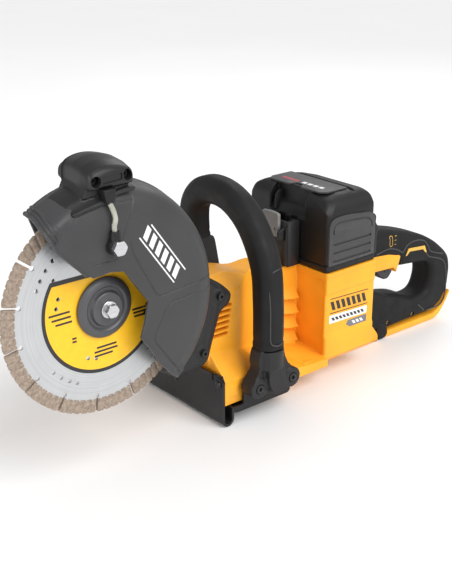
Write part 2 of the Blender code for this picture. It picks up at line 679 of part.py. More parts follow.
def loop_path():
    """Centre line of the front handle, from its left foot over the saw to its right one."""
    route = [(0, -124), (0, -109), (-1, -54), (-7, -9), (-32, 33), (-68, 56), (-108, 57),
             (-133, 36), (-135, -2), (-127, -41), (-124, -84)]
    return spline_through([(HANDLE_PLANE, y, z) for y, z in route], 4)


def make_front_handle():
    path = loop_path()
    tube("handle_tube", path, HANDLE_TUBE_RADIUS, "black_steel")
    sleeve = tube("handle_grip", path[4:33], HANDLE_TUBE_RADIUS + 0.6, "rubber", closed_ends=False)
    wall = sleeve.modifiers.new("wall", "SOLIDIFY")
    wall.thickness = (HANDLE_GRIP_RADIUS - HANDLE_TUBE_RADIUS - 0.6) * MM
    wall.offset = 1.0

    foot = fillet([(-207.0, -114.0), (-207.0, -136.0), (-198.0, -143.0), (-190.0, -150.0, 6.0),
                   (-190.0, -163.0, 6.0), (-200.0, -173.0), (-257.0, -175.0), (-271.0, -165.0, 7.0),
                   (-271.0, -150.0, 7.0), (-261.0, -142.0), (-248.0, -136.0), (-243.0, -114.0)], 3.0, 2)
    block = prism("handle_foot", foot, -10.2, 12.0, "black_plastic")
    join(block, rod("foot_collar", 18.5, -132.0, -110.5, "black_plastic", axis="Z", at=(HANDLE_PLANE, 0.0),
                    sides=24))
    cut(block, rod("foot_bore", HANDLE_TUBE_RADIUS + 0.5, -124.6, -100.0, "black_plastic", axis="Z",
                   at=(HANDLE_PLANE, 0.0), sides=16))
    for name, spot in FOOT_SCREWS.items():
        cut(block, rod("foot_screw_seat", 6.0, 8.0, 14.0, "black_plastic", at=spot, sides=12))
        cut(block, rod("foot_screw_bore", 3.0, -12.0, 10.0, "black_plastic", at=spot, sides=10))
        cut(bpy.data.objects["skid_plate"], rod("flange_bore", 3.0, -15.0, -8.0, "black_plastic", at=spot,
                                                sides=10))
        cap_screw(name, spot, 8.3, head=5.2, shank=2.7, length=22.0)

    mount = fillet([(-206.0, -6.0), (-206.0, -92.0), (-213.0, -104.0), (-237.0, -104.0),
                    (-244.0, -92.0), (-244.0, -6.0)], 4.0, 2)
    arm = prism("handle_mount_right", mount, -150.0, WAIST_RIGHT - GAP, "black_plastic")
    taper = [(-120.0, 0.0), (-104.0, 0.0), (-104.0, -60.0)]
    cut(arm, prism("mount_taper", taper, -255.0, -205.0, "black_plastic", axis="X"))
    cut(arm, tube("mount_bore", path[28:], HANDLE_TUBE_RADIUS + 0.5, "black_plastic"))


# ---------------------------------------------------------------- guard

def guard_profile(radius, face, back, wall):
    """Cross-section of the guard's shell: flat face, sloped shoulder, deep rim."""
    outer = [(26.0, face), (radius - 24.0, face), (radius - 8.0, face - 8.0), (radius, face - 22.0),
             (radius, back)]
    inner = [(radius - wall, back), (radius - wall, face - 23.0), (radius - 10.0, face - 10.0),
             (radius - 25.0, face - wall), (26.0, face - wall)]
    return outer + inner


def guard_outline():
    """Side view of the guard's face, from its front edge back round to its lower edge."""
    reach = GUARD_RADIUS + 20.0
    front = [(70.5, 82.5), (29.0, 43.5), (9.0, 46.0), (-7.0, 43.0), (-36.0, 7.0), (-32.0, -14.0),
             (-26.0, -34.0), (-48.0, -68.0)]
    return front + arc((0, 0), reach, 231, 49, 10)


def make_guard():
    shell = turned("guard_shell", guard_profile(GUARD_RADIUS, GUARD_FACE, GUARD_BACK + 3.0, GUARD_WALL),
                   "grey_plastic", ring=True, steps=72)
    keep = shell.modifiers.new("keep", "BOOLEAN")
    keep.operation = "INTERSECT"
    keep.object = hide_cutter(prism("guard_keep", guard_outline(), -40.0, 40.0, "grey_plastic"))
    cut(shell, rod("water_bore", 4.4, 20.0, 32.0, "grey_plastic", at=WATER_AT, sides=12))
    cut(shell, prism("lip_space", lip_outline(0.4), -40.0, 40.0, "grey_plastic"))

    sector = arc((0, 0), GUARD_RADIUS - 0.4, 50.0, 228.0, 36)
    hub = arc((0, 0), 44.0, 252.0, 386.0, 12)
    pivot = arc((0, 0), GUARD_PIVOT_RADIUS + 0.4, 0, 348.75, 31)
    prism("guard_back", [sector + hub, pivot], GUARD_BACK, GUARD_BACK + 2.7, "grey_plastic")

    lip = turned("guard_lip", guard_profile(GUARD_RADIUS + 1.0, GUARD_FACE + 1.0, GUARD_BACK + 3.0, 3.0),
                 "grey_plastic", ring=True, steps=72)
    keep = lip.modifiers.new("keep", "BOOLEAN")
    keep.operation = "INTERSECT"
    keep.object = hide_cutter(prism("lip_keep", lip_outline(0.0), -40.0, 40.0, "grey_plastic"))
    make_guard_grip()
    make_water_line()


def lip_outline(grow):
    """The thickened lip at the guard's front edge."""
    return [(62.0 - grow, 92.0 - grow), (72.0, 80.0 - grow), (104.0, 112.0), (70.0, 140.0 + grow),
            (48.0 - grow, 116.0)]


def make_guard_grip():
    seat = GUARD_RADIUS + 0.5
    grip = fillet([(-23.0, 131.2), (-24.0, 146.0, 9.0), (-10.0, 154.5, 10.0), (14.0, 157.5, 10.0),
                   (28.5, 148.0, 9.0), (28.5, 131.2)], 2.0, 3)
    block = prism("guard_grip", grip, -32.0, 30.0, "black_plastic")
    soften(block, 5.0, 2, 60.0)
    web = arc((0, 0), seat, 70, 96, 5) + [(-14.0, 134.0), (20.0, 136.0), (40.0, 134.0)]
    join(block, prism("grip_web", web, -16.0, 14.0, "black_plastic"))
    for i, spot in enumerate(((21.0, 139.0), (-14.5, 140.0))):
        cut(block, rod("grip_screw_seat", 5.0, 20.0, 34.0, "black_plastic", at=spot, sides=14))
        cut(block, rod("grip_screw_bore", 2.9, 0.0, 24.0, "black_plastic", at=spot, sides=10))
        cap_screw(("grip_screw_front", "grip_screw_rear")[i], spot, 20.3, length=16.0, look="black_steel")


def make_water_line():
    x, z = WATER_AT
    banjo = rod("banjo_fitting", 8.6, GUARD_FACE + GAP, 36.2, "black_plastic", at=WATER_AT, sides=20)
    join(banjo, rod("banjo_neck", 3.9, z + 4.0, z + 15.0, "black_plastic", axis="Z", at=(x, 32.3), sides=12))
    cut(banjo, rod("banjo_bore", 4.5, 20.0, 40.0, "black_plastic", at=WATER_AT, sides=14))
    bolt = rod("water_bolt", 8.0, 36.5, 42.0, "steel", at=WATER_AT, sides=6)
    join(bolt, rod("water_bolt_shank", 4.0, 22.0, 37.0, "steel", at=WATER_AT, sides=12))
    route = [(x, 32.3, z + 15.4), (x + 0.4, 32.6, z + 20), (x - 0.6, 33.4, z + 27), (x + 0.8, 33.0, z + 35),
             (x + 3.5, 31.0, z + 42.5)]
    tube("water_tube", spline_through(route, 3), 2.6, "clear_tube")
    tee = rod("water_tee", 5.2, z + 44.4, 130.4, "black_plastic", axis="Z", at=(x + 4.0, 30.6), sides=14)
    join(tee, rod("tee_arm", 3.8, 30.0, 42.0, "black_plastic", at=(x + 4.0, 123.0), sides=12))


# ---------------------------------------------------------------- assembly

def main():
    for item in list(bpy.data.objects):
        bpy.data.objects.remove(item, do_unlink=True)
    new_collection(PARTS)
    new_collection(CUTTERS)
    datum = bpy.data.objects.new("datum", None)
    bpy.context.scene.collection.objects.link(datum)
    datum.location = (DATUM_X * MM, DATUM_Y * MM, DATUM_Z * MM)
    make_finishes()
    make_blade()
    make_gears()
    make_motor()
    make_gear_case()
    make_motor_housing()
    make_housings()
    make_dock()
    make_battery()
    make_rear_handle()
    make_skid()
    make_front_handle()
    make_guard()


main()
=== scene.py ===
"""Looks of the cordless cut-off saw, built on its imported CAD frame.

Places are in millimetres from the datum, the centre of the blade's outer face,
with +X forward, +Y towards the blade side and +Z up, as in the CAD source.
"""
import json
import math

import bmesh
import bpy
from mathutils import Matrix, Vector, noise


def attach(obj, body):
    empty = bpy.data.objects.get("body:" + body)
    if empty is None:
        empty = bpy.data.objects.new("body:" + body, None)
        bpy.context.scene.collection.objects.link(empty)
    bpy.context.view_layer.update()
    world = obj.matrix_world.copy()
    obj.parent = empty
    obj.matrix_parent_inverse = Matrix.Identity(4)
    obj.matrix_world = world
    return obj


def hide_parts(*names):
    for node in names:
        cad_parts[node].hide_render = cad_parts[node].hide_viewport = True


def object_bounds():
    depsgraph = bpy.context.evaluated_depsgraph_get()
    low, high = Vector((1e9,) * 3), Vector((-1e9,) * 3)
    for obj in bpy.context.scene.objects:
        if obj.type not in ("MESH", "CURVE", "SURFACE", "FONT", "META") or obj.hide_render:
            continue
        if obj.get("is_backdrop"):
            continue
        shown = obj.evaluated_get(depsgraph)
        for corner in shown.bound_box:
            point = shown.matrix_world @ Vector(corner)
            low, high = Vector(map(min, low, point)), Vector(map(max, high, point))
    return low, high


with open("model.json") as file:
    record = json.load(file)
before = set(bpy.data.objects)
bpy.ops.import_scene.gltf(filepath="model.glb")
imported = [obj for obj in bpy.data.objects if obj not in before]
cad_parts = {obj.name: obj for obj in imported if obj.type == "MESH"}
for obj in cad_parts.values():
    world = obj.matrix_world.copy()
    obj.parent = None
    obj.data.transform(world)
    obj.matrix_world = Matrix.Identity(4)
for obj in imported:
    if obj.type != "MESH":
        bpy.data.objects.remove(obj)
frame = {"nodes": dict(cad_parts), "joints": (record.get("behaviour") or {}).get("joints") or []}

CAD_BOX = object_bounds()
MM = 0.001
DATUM = Vector(next(j["pos_m"] for j in frame["joints"] if j["name"] == "blade_spin"))

# Driving places and sizes, as in the CAD
CENTRE = -98.0
WAIST_LEFT = -44.0
WAIST_RIGHT = -106.0
BLOCK_FRONT = -343.0
BLOCK_REAR = -432.0
BLOCK_LEFT = -22.0
BLOCK_RIGHT = 2 * CENTRE - BLOCK_LEFT
BLOCK_TOP = -56.0
BLOCK_BASE = -178.0
BATTERY_FRONT = -344.3
BATTERY_REAR = -429.0
BATTERY_LEFT = -26.0
BATTERY_RIGHT = 2 * CENTRE - BATTERY_LEFT
BATTERY_TOP = 39.0
HANDLE_PLANE = -225.0
REAR_MID = -86.0
GROUND = -202.6
MOTOR_AT = (-106.8, -56.1)
LATCH_PIVOT = (-318.3, -14.0)
WATER_AT = (4.0, 73.0)
GUARD_FACE = 28.0
BAR_FILL = 0.62
BAR_LEAN = 0.25


# ---------------------------------------------------------------- materials

class Nodes:
    """Short ways to build one node material."""

    def __init__(self, name):
        self.material = bpy.data.materials.new(name)
        self.material.use_nodes = True
        self.tree = self.material.node_tree
        self.shader = self.tree.nodes["Principled BSDF"]
        coordinates = self.add("ShaderNodeTexCoord")
        self.place = coordinates.outputs["Object"]

    def add(self, kind, **settings):
        node = self.tree.nodes.new(kind)
        for key, value in settings.items():
            setattr(node, key, value)
        return node

    def link(self, source, target):
        self.tree.links.new(source, target)

    def noise(self, scale, detail=3.0, vector=None, roughness=0.5):
        node = self.add("ShaderNodeTexNoise")
        node.inputs["Scale"].default_value = scale
        node.inputs["Detail"].default_value = detail
        node.inputs["Roughness"].default_value = roughness
        self.link(vector or self.place, node.inputs["Vector"])
        return node.outputs["Fac"]

    def remap(self, value, low, high, start=0.3, stop=0.7):
        node = self.add("ShaderNodeMapRange")
        node.inputs["From Min"].default_value = start
        node.inputs["From Max"].default_value = stop
        node.inputs["To Min"].default_value = low
        node.inputs["To Max"].default_value = high
        self.link(value, node.inputs["Value"])
        return node.outputs["Result"]

    def mix(self, factor, first, second):
        """Mix of two colours; each is a colour or a socket."""
        node = self.add("ShaderNodeMix", data_type="RGBA")
        self.link(factor, node.inputs["Factor"])
        for socket, colour in ((node.inputs[6], first), (node.inputs[7], second)):
            if isinstance(colour, tuple):
                socket.default_value = (*colour, 1.0)
            else:
                self.link(colour, socket)
        return node.outputs[2]

    def bump(self, height, distance, strength=1.0, below=None):
        node = self.add("ShaderNodeBump")
        node.inputs["Distance"].default_value = distance
        node.inputs["Strength"].default_value = strength
        self.link(height, node.inputs["Height"])
        if below is not None:
            self.link(below, node.inputs["Normal"])
        return node.outputs["Normal"]

    def out(self, colour, roughness, normal=None, metallic=0.0, **sockets):
        if isinstance(colour, tuple):
            self.shader.inputs["Base Color"].default_value = (*colour, 1.0)
        else:
            self.link(colour, self.shader.inputs["Base Color"])
        if isinstance(roughness, float):
            self.shader.inputs["Roughness"].default_value = roughness
        else:
            self.link(roughness, self.shader.inputs["Roughness"])
        if normal is not None:
            self.link(normal, self.shader.inputs["Normal"])
        self.shader.inputs["Metallic"].default_value = metallic
        for key, value in sockets.items():
            self.shader.inputs[key.replace("_", " ")].default_value = value
        return self.material


def shade(colour, factor):
    return tuple(min(1.0, channel * factor) for channel in colour)


def plastic(name, colour, roughness=0.45, edge_highlight=1.25):
    """Moulded plastic: fine spark-eroded grain, slight flow marks, and a painted highlight that lightens
    pointy edges.
    """
    n = Nodes(name)
    flow = n.remap(n.noise(28.0, 2.0), 0.0, 1.0)
    body = n.mix(flow, shade(colour, 0.93), shade(colour, 1.06))
    edge = n.add("ShaderNodeNewGeometry").outputs["Pointiness"]
    # Painted highlight: convex edges (high pointiness) are lightened by the edge_highlight factor, in patches
    # set by noise.
    edge_highlight_mask = n.add("ShaderNodeMath", operation="MULTIPLY")
    n.link(n.remap(edge, 0.0, 1.0, 0.51, 0.6), edge_highlight_mask.inputs[0])
    n.link(n.remap(n.noise(160.0, 4.0), 0.2, 1.0, 0.4, 0.65), edge_highlight_mask.inputs[1])
    finish = n.mix(edge_highlight_mask.outputs[0], body, shade(colour, edge_highlight))
    gloss = n.remap(n.noise(55.0, 3.0), roughness - 0.05, roughness + 0.06)
    fine = n.bump(n.noise(2400.0, 2.0), 0.00006, 0.6)
    return n.out(finish, gloss, fine, Specular_IOR_Level=0.32)


def rubber(name, colour, roughness=0.62):
    """Soft overmould with a pebbled surface."""
    n = Nodes(name)
    cells = n.add("ShaderNodeTexVoronoi")
    cells.inputs["Scale"].default_value = 900.0
    n.link(n.place, cells.inputs["Vector"])
    flow = n.remap(n.noise(40.0, 3.0), 0.0, 1.0)
    body = n.mix(flow, shade(colour, 0.85), shade(colour, 1.2))
    pebbles = n.bump(cells.outputs["Distance"], 0.00012, 0.5)
    gloss = n.remap(n.noise(70.0), roughness - 0.06, roughness + 0.08)
    return n.out(body, gloss, n.bump(n.noise(1800.0), 0.00005, 0.5, pebbles), Specular_IOR_Level=0.25)


def painted_steel(name, colour, roughness=0.42):
    """Powder coat: a soft orange-peel skin."""
    n = Nodes(name)
    peel = n.bump(n.noise(520.0, 3.0), 0.00008, 0.5)
    body = n.mix(n.remap(n.noise(34.0, 3.0), 0.0, 1.0), shade(colour, 0.9), shade(colour, 1.12))
    return n.out(body, n.remap(n.noise(90.0), roughness - 0.06, roughness + 0.06), peel,
                 Specular_IOR_Level=0.3)


def cast_metal(name, colour):
    n = Nodes(name)
    pits = n.bump(n.noise(900.0, 4.0), 0.0001, 0.5)
    body = n.mix(n.remap(n.noise(60.0, 4.0), 0.0, 1.0), shade(colour, 0.88), shade(colour, 1.12))
    return n.out(body, n.remap(n.noise(140.0), 0.35, 0.5), pits, metallic=0.55)


def turned_metal(name, colour, roughness=0.28, rings=900.0, metallic=1.0):
    """Metal finished on a lathe or a grinder about the piece's own Y axis."""
    n = Nodes(name)
    split = n.add("ShaderNodeSeparateXYZ")
    n.link(n.place, split.inputs[0])
    flat = n.add("ShaderNodeCombineXYZ")
    n.link(split.outputs["X"], flat.inputs["X"])
    n.link(split.outputs["Z"], flat.inputs["Y"])
    radius = n.add("ShaderNodeVectorMath", operation="LENGTH")
    n.link(flat.outputs[0], radius.inputs[0])
    groove = n.add("ShaderNodeTexNoise", noise_dimensions="1D")
    groove.inputs["Scale"].default_value = rings
    groove.inputs["Detail"].default_value = 4.0
    n.link(radius.outputs["Value"], groove.inputs["W"])
    tone = n.remap(groove.outputs["Fac"], 0.0, 1.0)
    body = n.mix(tone, shade(colour, 0.9), shade(colour, 1.08))
    smear = n.mix(n.remap(n.noise(45.0, 3.0), 0.0, 0.35), body, shade(colour, 0.82))
    gloss = n.remap(groove.outputs["Fac"], roughness - 0.06, roughness + 0.1)
    return n.out(smear, gloss, n.bump(groove.outputs["Fac"], 0.00003, 0.6), metallic=metallic)


def brushed_steel(name, colour, roughness=0.3):
    n = Nodes(name)
    scale = n.add("ShaderNodeMapping")
    scale.inputs["Scale"].default_value = (40.0, 900.0, 900.0)
    n.link(n.place, scale.inputs["Vector"])
    lines = n.noise(1.0, 3.0, scale.outputs[0])
    body = n.mix(n.remap(lines, 0.0, 1.0), shade(colour, 0.86), shade(colour, 1.06))
    return n.out(body, n.remap(lines, roughness - 0.06, roughness + 0.1), n.bump(lines, 0.00003, 0.6),
                 metallic=1.0)


def grit(name):
    """Sintered bond with diamond grit, worn brown-grey."""
    n = Nodes(name)
    grains = n.add("ShaderNodeTexVoronoi")
    grains.inputs["Scale"].default_value = 1300.0
    n.link(n.place, grains.inputs["Vector"])
    coarse = n.remap(n.noise(260.0, 5.0, roughness=0.7), 0.0, 1.0)
    body = n.mix(coarse, (0.19, 0.135, 0.1), (0.42, 0.34, 0.27))
    speck = n.mix(n.remap(grains.outputs["Distance"], 0.6, 0.0, 0.05, 0.35), body, (0.6, 0.53, 0.45))
    rough = n.bump(n.noise(700.0, 5.0, roughness=0.7), 0.0005, 0.8)
    return n.out(speck, 0.68, n.bump(grains.outputs["Distance"], 0.0002, 0.6, rough), metallic=0.25)


def print_ink(name, colour, roughness=0.38):
    """Printed foil: nearly even, with a faint mottle."""
    n = Nodes(name)
    body = n.mix(n.remap(n.noise(120.0, 3.0), 0.0, 1.0), shade(colour, 0.96), shade(colour, 1.04))
    return n.out(body, n.remap(n.noise(300.0), roughness - 0.04, roughness + 0.05),
                 n.bump(n.noise(1500.0), 0.00002, 0.4))


def clear_vinyl(name):
    n = Nodes(name)
    body = n.mix(n.remap(n.noise(90.0), 0.0, 1.0), (0.62, 0.6, 0.5), (0.8, 0.79, 0.7))
    return n.out(body, 0.14, n.bump(n.noise(400.0), 0.00004, 0.4), Transmission_Weight=0.55, IOR=1.45)


# Where given, the last argument of a plastic sets how strongly its painted edge highlight lightens its edges.
YELLOW = plastic("yellow_nylon", (0.95, 0.405, 0.026), 0.42, edge_highlight=1.1)
GREY = plastic("grey_nylon", (0.046, 0.046, 0.048), 0.44, edge_highlight=1.5)
BLACK = plastic("black_nylon", (0.009, 0.009, 0.0095), 0.46, edge_highlight=1.9)
SATIN = plastic("satin_black", (0.016, 0.016, 0.017), 0.38, edge_highlight=1.5)
CHARCOAL = plastic("charcoal_nylon", (0.017, 0.017, 0.018), 0.5, edge_highlight=1.4)
SEAM = plastic("seam_charcoal", (0.05, 0.05, 0.052), 0.5)
RUBBER = rubber("grip_rubber", (0.0085, 0.0085, 0.009))
SOFT = rubber("soft_black", (0.009, 0.009, 0.0095), 0.58)
COATED = painted_steel("black_powder_coat", (0.014, 0.014, 0.015))
BURNT = painted_steel("black_oxide", (0.02, 0.02, 0.021), 0.35)
CAST = cast_metal("dark_casting", (0.06, 0.06, 0.064))
FLANGE = turned_metal("dark_flange", (0.085, 0.085, 0.09), 0.42, 700.0, 0.35)
BLADE = turned_metal("ground_steel", (0.58, 0.59, 0.6), 0.34, 600.0, 0.85)
STEEL = brushed_steel("bright_steel", (0.66, 0.66, 0.68))
ZINC = brushed_steel("zinc_steel", (0.5, 0.5, 0.52), 0.36)
GRIT = grit("diamond_grit")
LABEL_YELLOW = print_ink("label_yellow", (0.92, 0.5, 0.014))
LABEL_BLACK = print_ink("label_black", (0.018, 0.018, 0.019))
LABEL_WHITE = print_ink("label_white", (0.78, 0.78, 0.78))
LABEL_GREY = print_ink("label_grey", (0.16, 0.165, 0.175))
LATCH_GREY = plastic("latch_grey", (0.2, 0.2, 0.2), 0.42, edge_highlight=1.25)
PLATE_GREY = plastic("plate_grey", (0.045, 0.045, 0.047), 0.36, edge_highlight=1.2)
GOLD = print_ink("accent_yellow", (0.72, 0.42, 0.06), 0.3)
BRASS = brushed_steel("brass_insert", (0.55, 0.38, 0.14), 0.3)
VINYL = clear_vinyl("clear_vinyl")
COPPER = brushed_steel("copper_winding", (0.55, 0.25, 0.12), 0.35)
CIRCUIT = plastic("potted_circuit", (0.02, 0.1, 0.055), 0.5)


# ---------------------------------------------------------------- pieces

def wrap(name, mesh, material):
    """An object at the datum, holding a mesh in metres from it."""
    item = bpy.data.objects.new(name, mesh)
    bpy.context.scene.collection.objects.link(item)
    item.location = DATUM
    item.data.materials.clear()
    item.data.materials.append(material)
    return item


def from_bmesh(name, work, material, weld=None):
    if weld:
        bmesh.ops.remove_doubles(work, verts=work.verts, dist=weld * MM)
    bmesh.ops.recalc_face_normals(work, faces=work.faces)
    mesh = bpy.data.meshes.new(name)
    work.to_mesh(mesh)
    work.free()
    return wrap(name, mesh, material)


def smooth(item, angle=32.0):
    item.data.shade_smooth()
    item.data.set_sharp_from_angle(angle=math.radians(angle))
    return item


def settle(item):
    """Put an object's modifiers into its mesh."""
    bpy.context.view_layer.update()
    graph = bpy.context.evaluated_depsgraph_get()
    mesh = bpy.data.meshes.new_from_object(item.evaluated_get(graph))
    item.modifiers.clear()
    old = item.data
    item.data = mesh
    bpy.data.meshes.remove(old)
    return item


def cut(item, *cutters, operation="DIFFERENCE"):
    for cutter in cutters:
        step = item.modifiers.new("cut", "BOOLEAN")
        step.operation = operation
        step.object = cutter
        settle(item)
        bpy.data.objects.remove(cutter, do_unlink=True)
    return item


def merge(name, items, material):
    """Join objects into one mesh, as separate shells."""
    work = bmesh.new()
    for item in items:
        work.from_mesh(item.data)
        bpy.data.objects.remove(item, do_unlink=True)
    mesh = bpy.data.meshes.new(name)
    work.to_mesh(mesh)
    work.free()
    return wrap(name, mesh, material)


def mould(item, voxel=1.2, rounds=5, factor=0.5):
    """Fuse overlapping shells into one skin with soft moulded edges."""
    skin = item.modifiers.new("skin", "REMESH")
    skin.mode = "VOXEL"
    skin.voxel_size = voxel * MM
    relax = item.modifiers.new("relax", "SMOOTH")
    relax.iterations = rounds
    relax.factor = factor
    settle(item)
    item.data.shade_smooth()
    return item


def soften(item, width, segments=3, angle=40.0):
    step = item.modifiers.new("soften", "BEVEL")
    step.width = width * MM
    step.segments = segments
    step.limit_method = "ANGLE"
    step.angle_limit = math.radians(angle)
    step.harden_normals = True
    return smooth(settle(item), 40.0)


def show(item, body, slot, *nodes):
    """Let a piece ride on a body and stand for CAD nodes; its slot is not used."""
    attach(item, body)
    if nodes:
        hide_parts(*nodes)
    return item


def arc(centre, radius, start, stop, steps):
    turns = [math.radians(start + (stop - start) * i / steps) for i in range(steps + 1)]
    return [(centre[0] + radius * math.cos(t), centre[1] + radius * math.sin(t)) for t in turns]


def ring_points(centre, radius, sides):
    return arc(centre, radius, 0, 360 * (sides - 1) / sides, sides - 1)


def fillet(points, radius, steps=6):
    """Round the corners of a closed outline; a third value overrides the radius."""
    rounded = []
    for i, point in enumerate(points):
        here = Vector(point[:2])
        size = point[2] if len(point) > 2 else radius
        before = Vector(points[i - 1][:2]) - here
        after = Vector(points[(i + 1) % len(points)][:2]) - here
        reach = min(size, 0.48 * before.length, 0.48 * after.length)
        if reach < 0.05:
            rounded.append(tuple(here))
            continue
        start = here + before.normalized() * reach
        stop = here + after.normalized() * reach
        for k in range(steps + 1):
            t = k / steps
            rounded.append(tuple((1 - t) ** 2 * start + 2 * t * (1 - t) * here + t * t * stop))
    return rounded


def prism(name, outlines, low, high, material, axis="Y"):
    """Extrude closed outlines (the first outside, the rest holes) along an axis."""
    if not isinstance(outlines[0], list):
        outlines = [outlines]
    curve = bpy.data.curves.new(name, "CURVE")
    curve.dimensions = "2D"
    curve.fill_mode = "BOTH"
    curve.extrude = abs(high - low) / 2 * MM
    for outline in outlines:
        spline = curve.splines.new("POLY")
        spline.points.add(len(outline) - 1)
        spline.use_cyclic_u = True
        for node, point in zip(spline.points, outline):
            node.co = (point[0] * MM, point[1] * MM, 0.0, 1.0)
    draft = bpy.data.objects.new(name + "_curve", curve)
    bpy.context.scene.collection.objects.link(draft)
    bpy.context.view_layer.update()
    graph = bpy.context.evaluated_depsgraph_get()
    mesh = bpy.data.meshes.new_from_object(draft.evaluated_get(graph))
    bpy.data.objects.remove(draft, do_unlink=True)
    middle = (low + high) / 2 * MM
    work = bmesh.new()
    work.from_mesh(mesh)
    bpy.data.meshes.remove(mesh)
    for vert in work.verts:
        u, v, w = vert.co
        vert.co = {"Y": (u, middle - w, v), "X": (middle + w, u, v), "Z": (u, v, middle + w)}[axis]
    return from_bmesh(name, work, material, weld=0.01)


def block(name, x, y, z, material):
    return prism(name, [(x[0], y[0]), (x[1], y[0]), (x[1], y[1]), (x[0], y[1])], z[0], z[1], material, "Z")


def rod(name, radius, low, high, material, axis="Y", at=(0.0, 0.0), sides=32):
    return prism(name, ring_points(at, radius, sides), low, high, material, axis)


def lathe(name, profile, material, at=(0.0, 0.0), steps=96, axis="Y"):
    """Turn a profile of (radius, height) points; it closes on the axis or on itself."""
    work = bmesh.new()
    columns = []
    for i in range(steps):
        turn = 2 * math.pi * i / steps
        c, s = math.cos(turn), math.sin(turn)
        column = []
        for radius, height in profile:
            u, v = at[0] + radius * c, at[1] + radius * s
            spot = {"Y": (u, height, v), "Z": (u, v, height), "X": (height, u, v)}[axis]
            column.append(work.verts.new(Vector(spot) * MM))
        columns.append(column)
    closed = profile[0][0] > 0.001 or profile[-1][0] > 0.001
    count = len(profile)
    for i in range(steps):
        a, b = columns[i], columns[(i + 1) % steps]
        for k in range(count if closed else count - 1):
            m = (k + 1) % count
            work.faces.new((a[k], a[m], b[m], b[k]))
    item = from_bmesh(name, work, material, weld=0.005)
    return smooth(item)


def spline_through(points, pieces, closed=False):
    """Catmull-Rom curve through points of any dimension."""
    points = [Vector(p) for p in points]
    if closed:
        ends = [points[-1]] + points + points[:2]
    else:
        ends = [points[0] * 2 - points[1]] + points + [points[-1] * 2 - points[-2]]
    path = []
    for i in range(1, len(ends) - 2):
        a, b, c, d = ends[i - 1:i + 3]
        for k in range(pieces):
            t = k / pieces
            path.append(0.5 * (2 * b + (c - a) * t + (2 * a - 5 * b + 4 * c - d) * t * t
                               + (3 * b - a - 3 * c + d) * t ** 3))
    if not closed:
        path.append(ends[-2])
    return path


def grid_mesh(name, rows, material, close_rows=False, caps=False):
    """A skin over rows of points in millimetres; each row may close on itself."""
    work = bmesh.new()
    verts = [[work.verts.new(Vector(p) * MM) for p in row] for row in rows]
    for a, b in zip(verts, verts[1:]):
        count = len(a) if close_rows else len(a) - 1
        for k in range(count):
            m = (k + 1) % len(a)
            work.faces.new((a[k], a[m], b[m], b[k]))
    if caps:
        work.faces.new(verts[0])
        work.faces.new(verts[-1])
    return from_bmesh(name, work, material)


def sweep(name, path, section, material):
    """Carry a section along a path; section(t) gives (side, up) offsets."""
    path = [Vector(p) for p in path]
    rows = []
    side = None
    for i, here in enumerate(path):
        ahead = path[min(i + 1, len(path) - 1)] - path[max(i - 1, 0)]
        ahead.normalize()
        if side is None:
            side = ahead.orthogonal().normalized()
            if abs(ahead.x) < 0.9:
                side = (Vector((1, 0, 0)) - ahead * ahead.x).normalized()
        side = (side - ahead * side.dot(ahead)).normalized()
        up = ahead.cross(side)
        rows.append([here + side * a + up * b for a, b in section(i / (len(path) - 1))])
    return grid_mesh(name, rows, material, close_rows=True, caps=True)


def step_up(distance, width):
    """0 outside an edge and 1 inside it, eased across its width."""
    t = max(0.0, min(1.0, 0.5 - distance / width))
    return t * t * (3 - 2 * t)


def outline_distance(point, outline):
    """Signed distance from a closed outline, negative inside."""
    x, y = point
    nearest = 1e9
    inside = False
    for (ax, ay), (bx, by) in zip(outline, outline[1:] + outline[:1]):
        ex, ey = bx - ax, by - ay
        t = max(0.0, min(1.0, ((x - ax) * ex + (y - ay) * ey) / (ex * ex + ey * ey)))
        nearest = min(nearest, (x - ax - t * ex) ** 2 + (y - ay - t * ey) ** 2)
        if (ay > y) != (by > y) and x < ax + ex * (y - ay) / ey:
            inside = not inside
    nearest = math.sqrt(nearest)
    return -nearest if inside else nearest


def lerp_table(table, value):
    """Straight-line look-up in a short list of (input, output) pairs."""
    if value <= table[0][0]:
        return table[0][1]
    for (x0, y0), (x1, y1) in zip(table, table[1:]):
        if value <= x1:
            return y0 + (y1 - y0) * (value - x0) / (x1 - x0)
    return table[-1][1]


def plate(name, outlines, low, high, material, round_=1.5, axis="Y", steps=3):
    """A prism whose rims are rounded; the outline is drawn in before its rim swells out again."""
    if not isinstance(outlines[0], list):
        outlines = [outlines]
    curve = bpy.data.curves.new(name, "CURVE")
    curve.dimensions = "2D"
    curve.fill_mode = "BOTH"
    curve.extrude = (abs(high - low) / 2 - round_) * MM
    curve.bevel_depth = round_ * MM
    curve.bevel_resolution = steps
    curve.offset = -round_ * MM
    for outline in outlines:
        spline = curve.splines.new("POLY")
        spline.points.add(len(outline) - 1)
        spline.use_cyclic_u = True
        for node, point in zip(spline.points, outline):
            node.co = (point[0] * MM, point[1] * MM, 0.0, 1.0)
    draft = bpy.data.objects.new(name + "_curve", curve)
    bpy.context.scene.collection.objects.link(draft)
    bpy.context.view_layer.update()
    graph = bpy.context.evaluated_depsgraph_get()
    mesh = bpy.data.meshes.new_from_object(draft.evaluated_get(graph))
    bpy.data.objects.remove(draft, do_unlink=True)
    middle = (low + high) / 2 * MM
    work = bmesh.new()
    work.from_mesh(mesh)
    bpy.data.meshes.remove(mesh)
    for vert in work.verts:
        u, v, w = vert.co
        vert.co = {"Y": (u, middle - w, v), "X": (middle + w, u, v), "Z": (u, v, middle + w)}[axis]
    return smooth(from_bmesh(name, work, material, weld=0.02), 38.0)


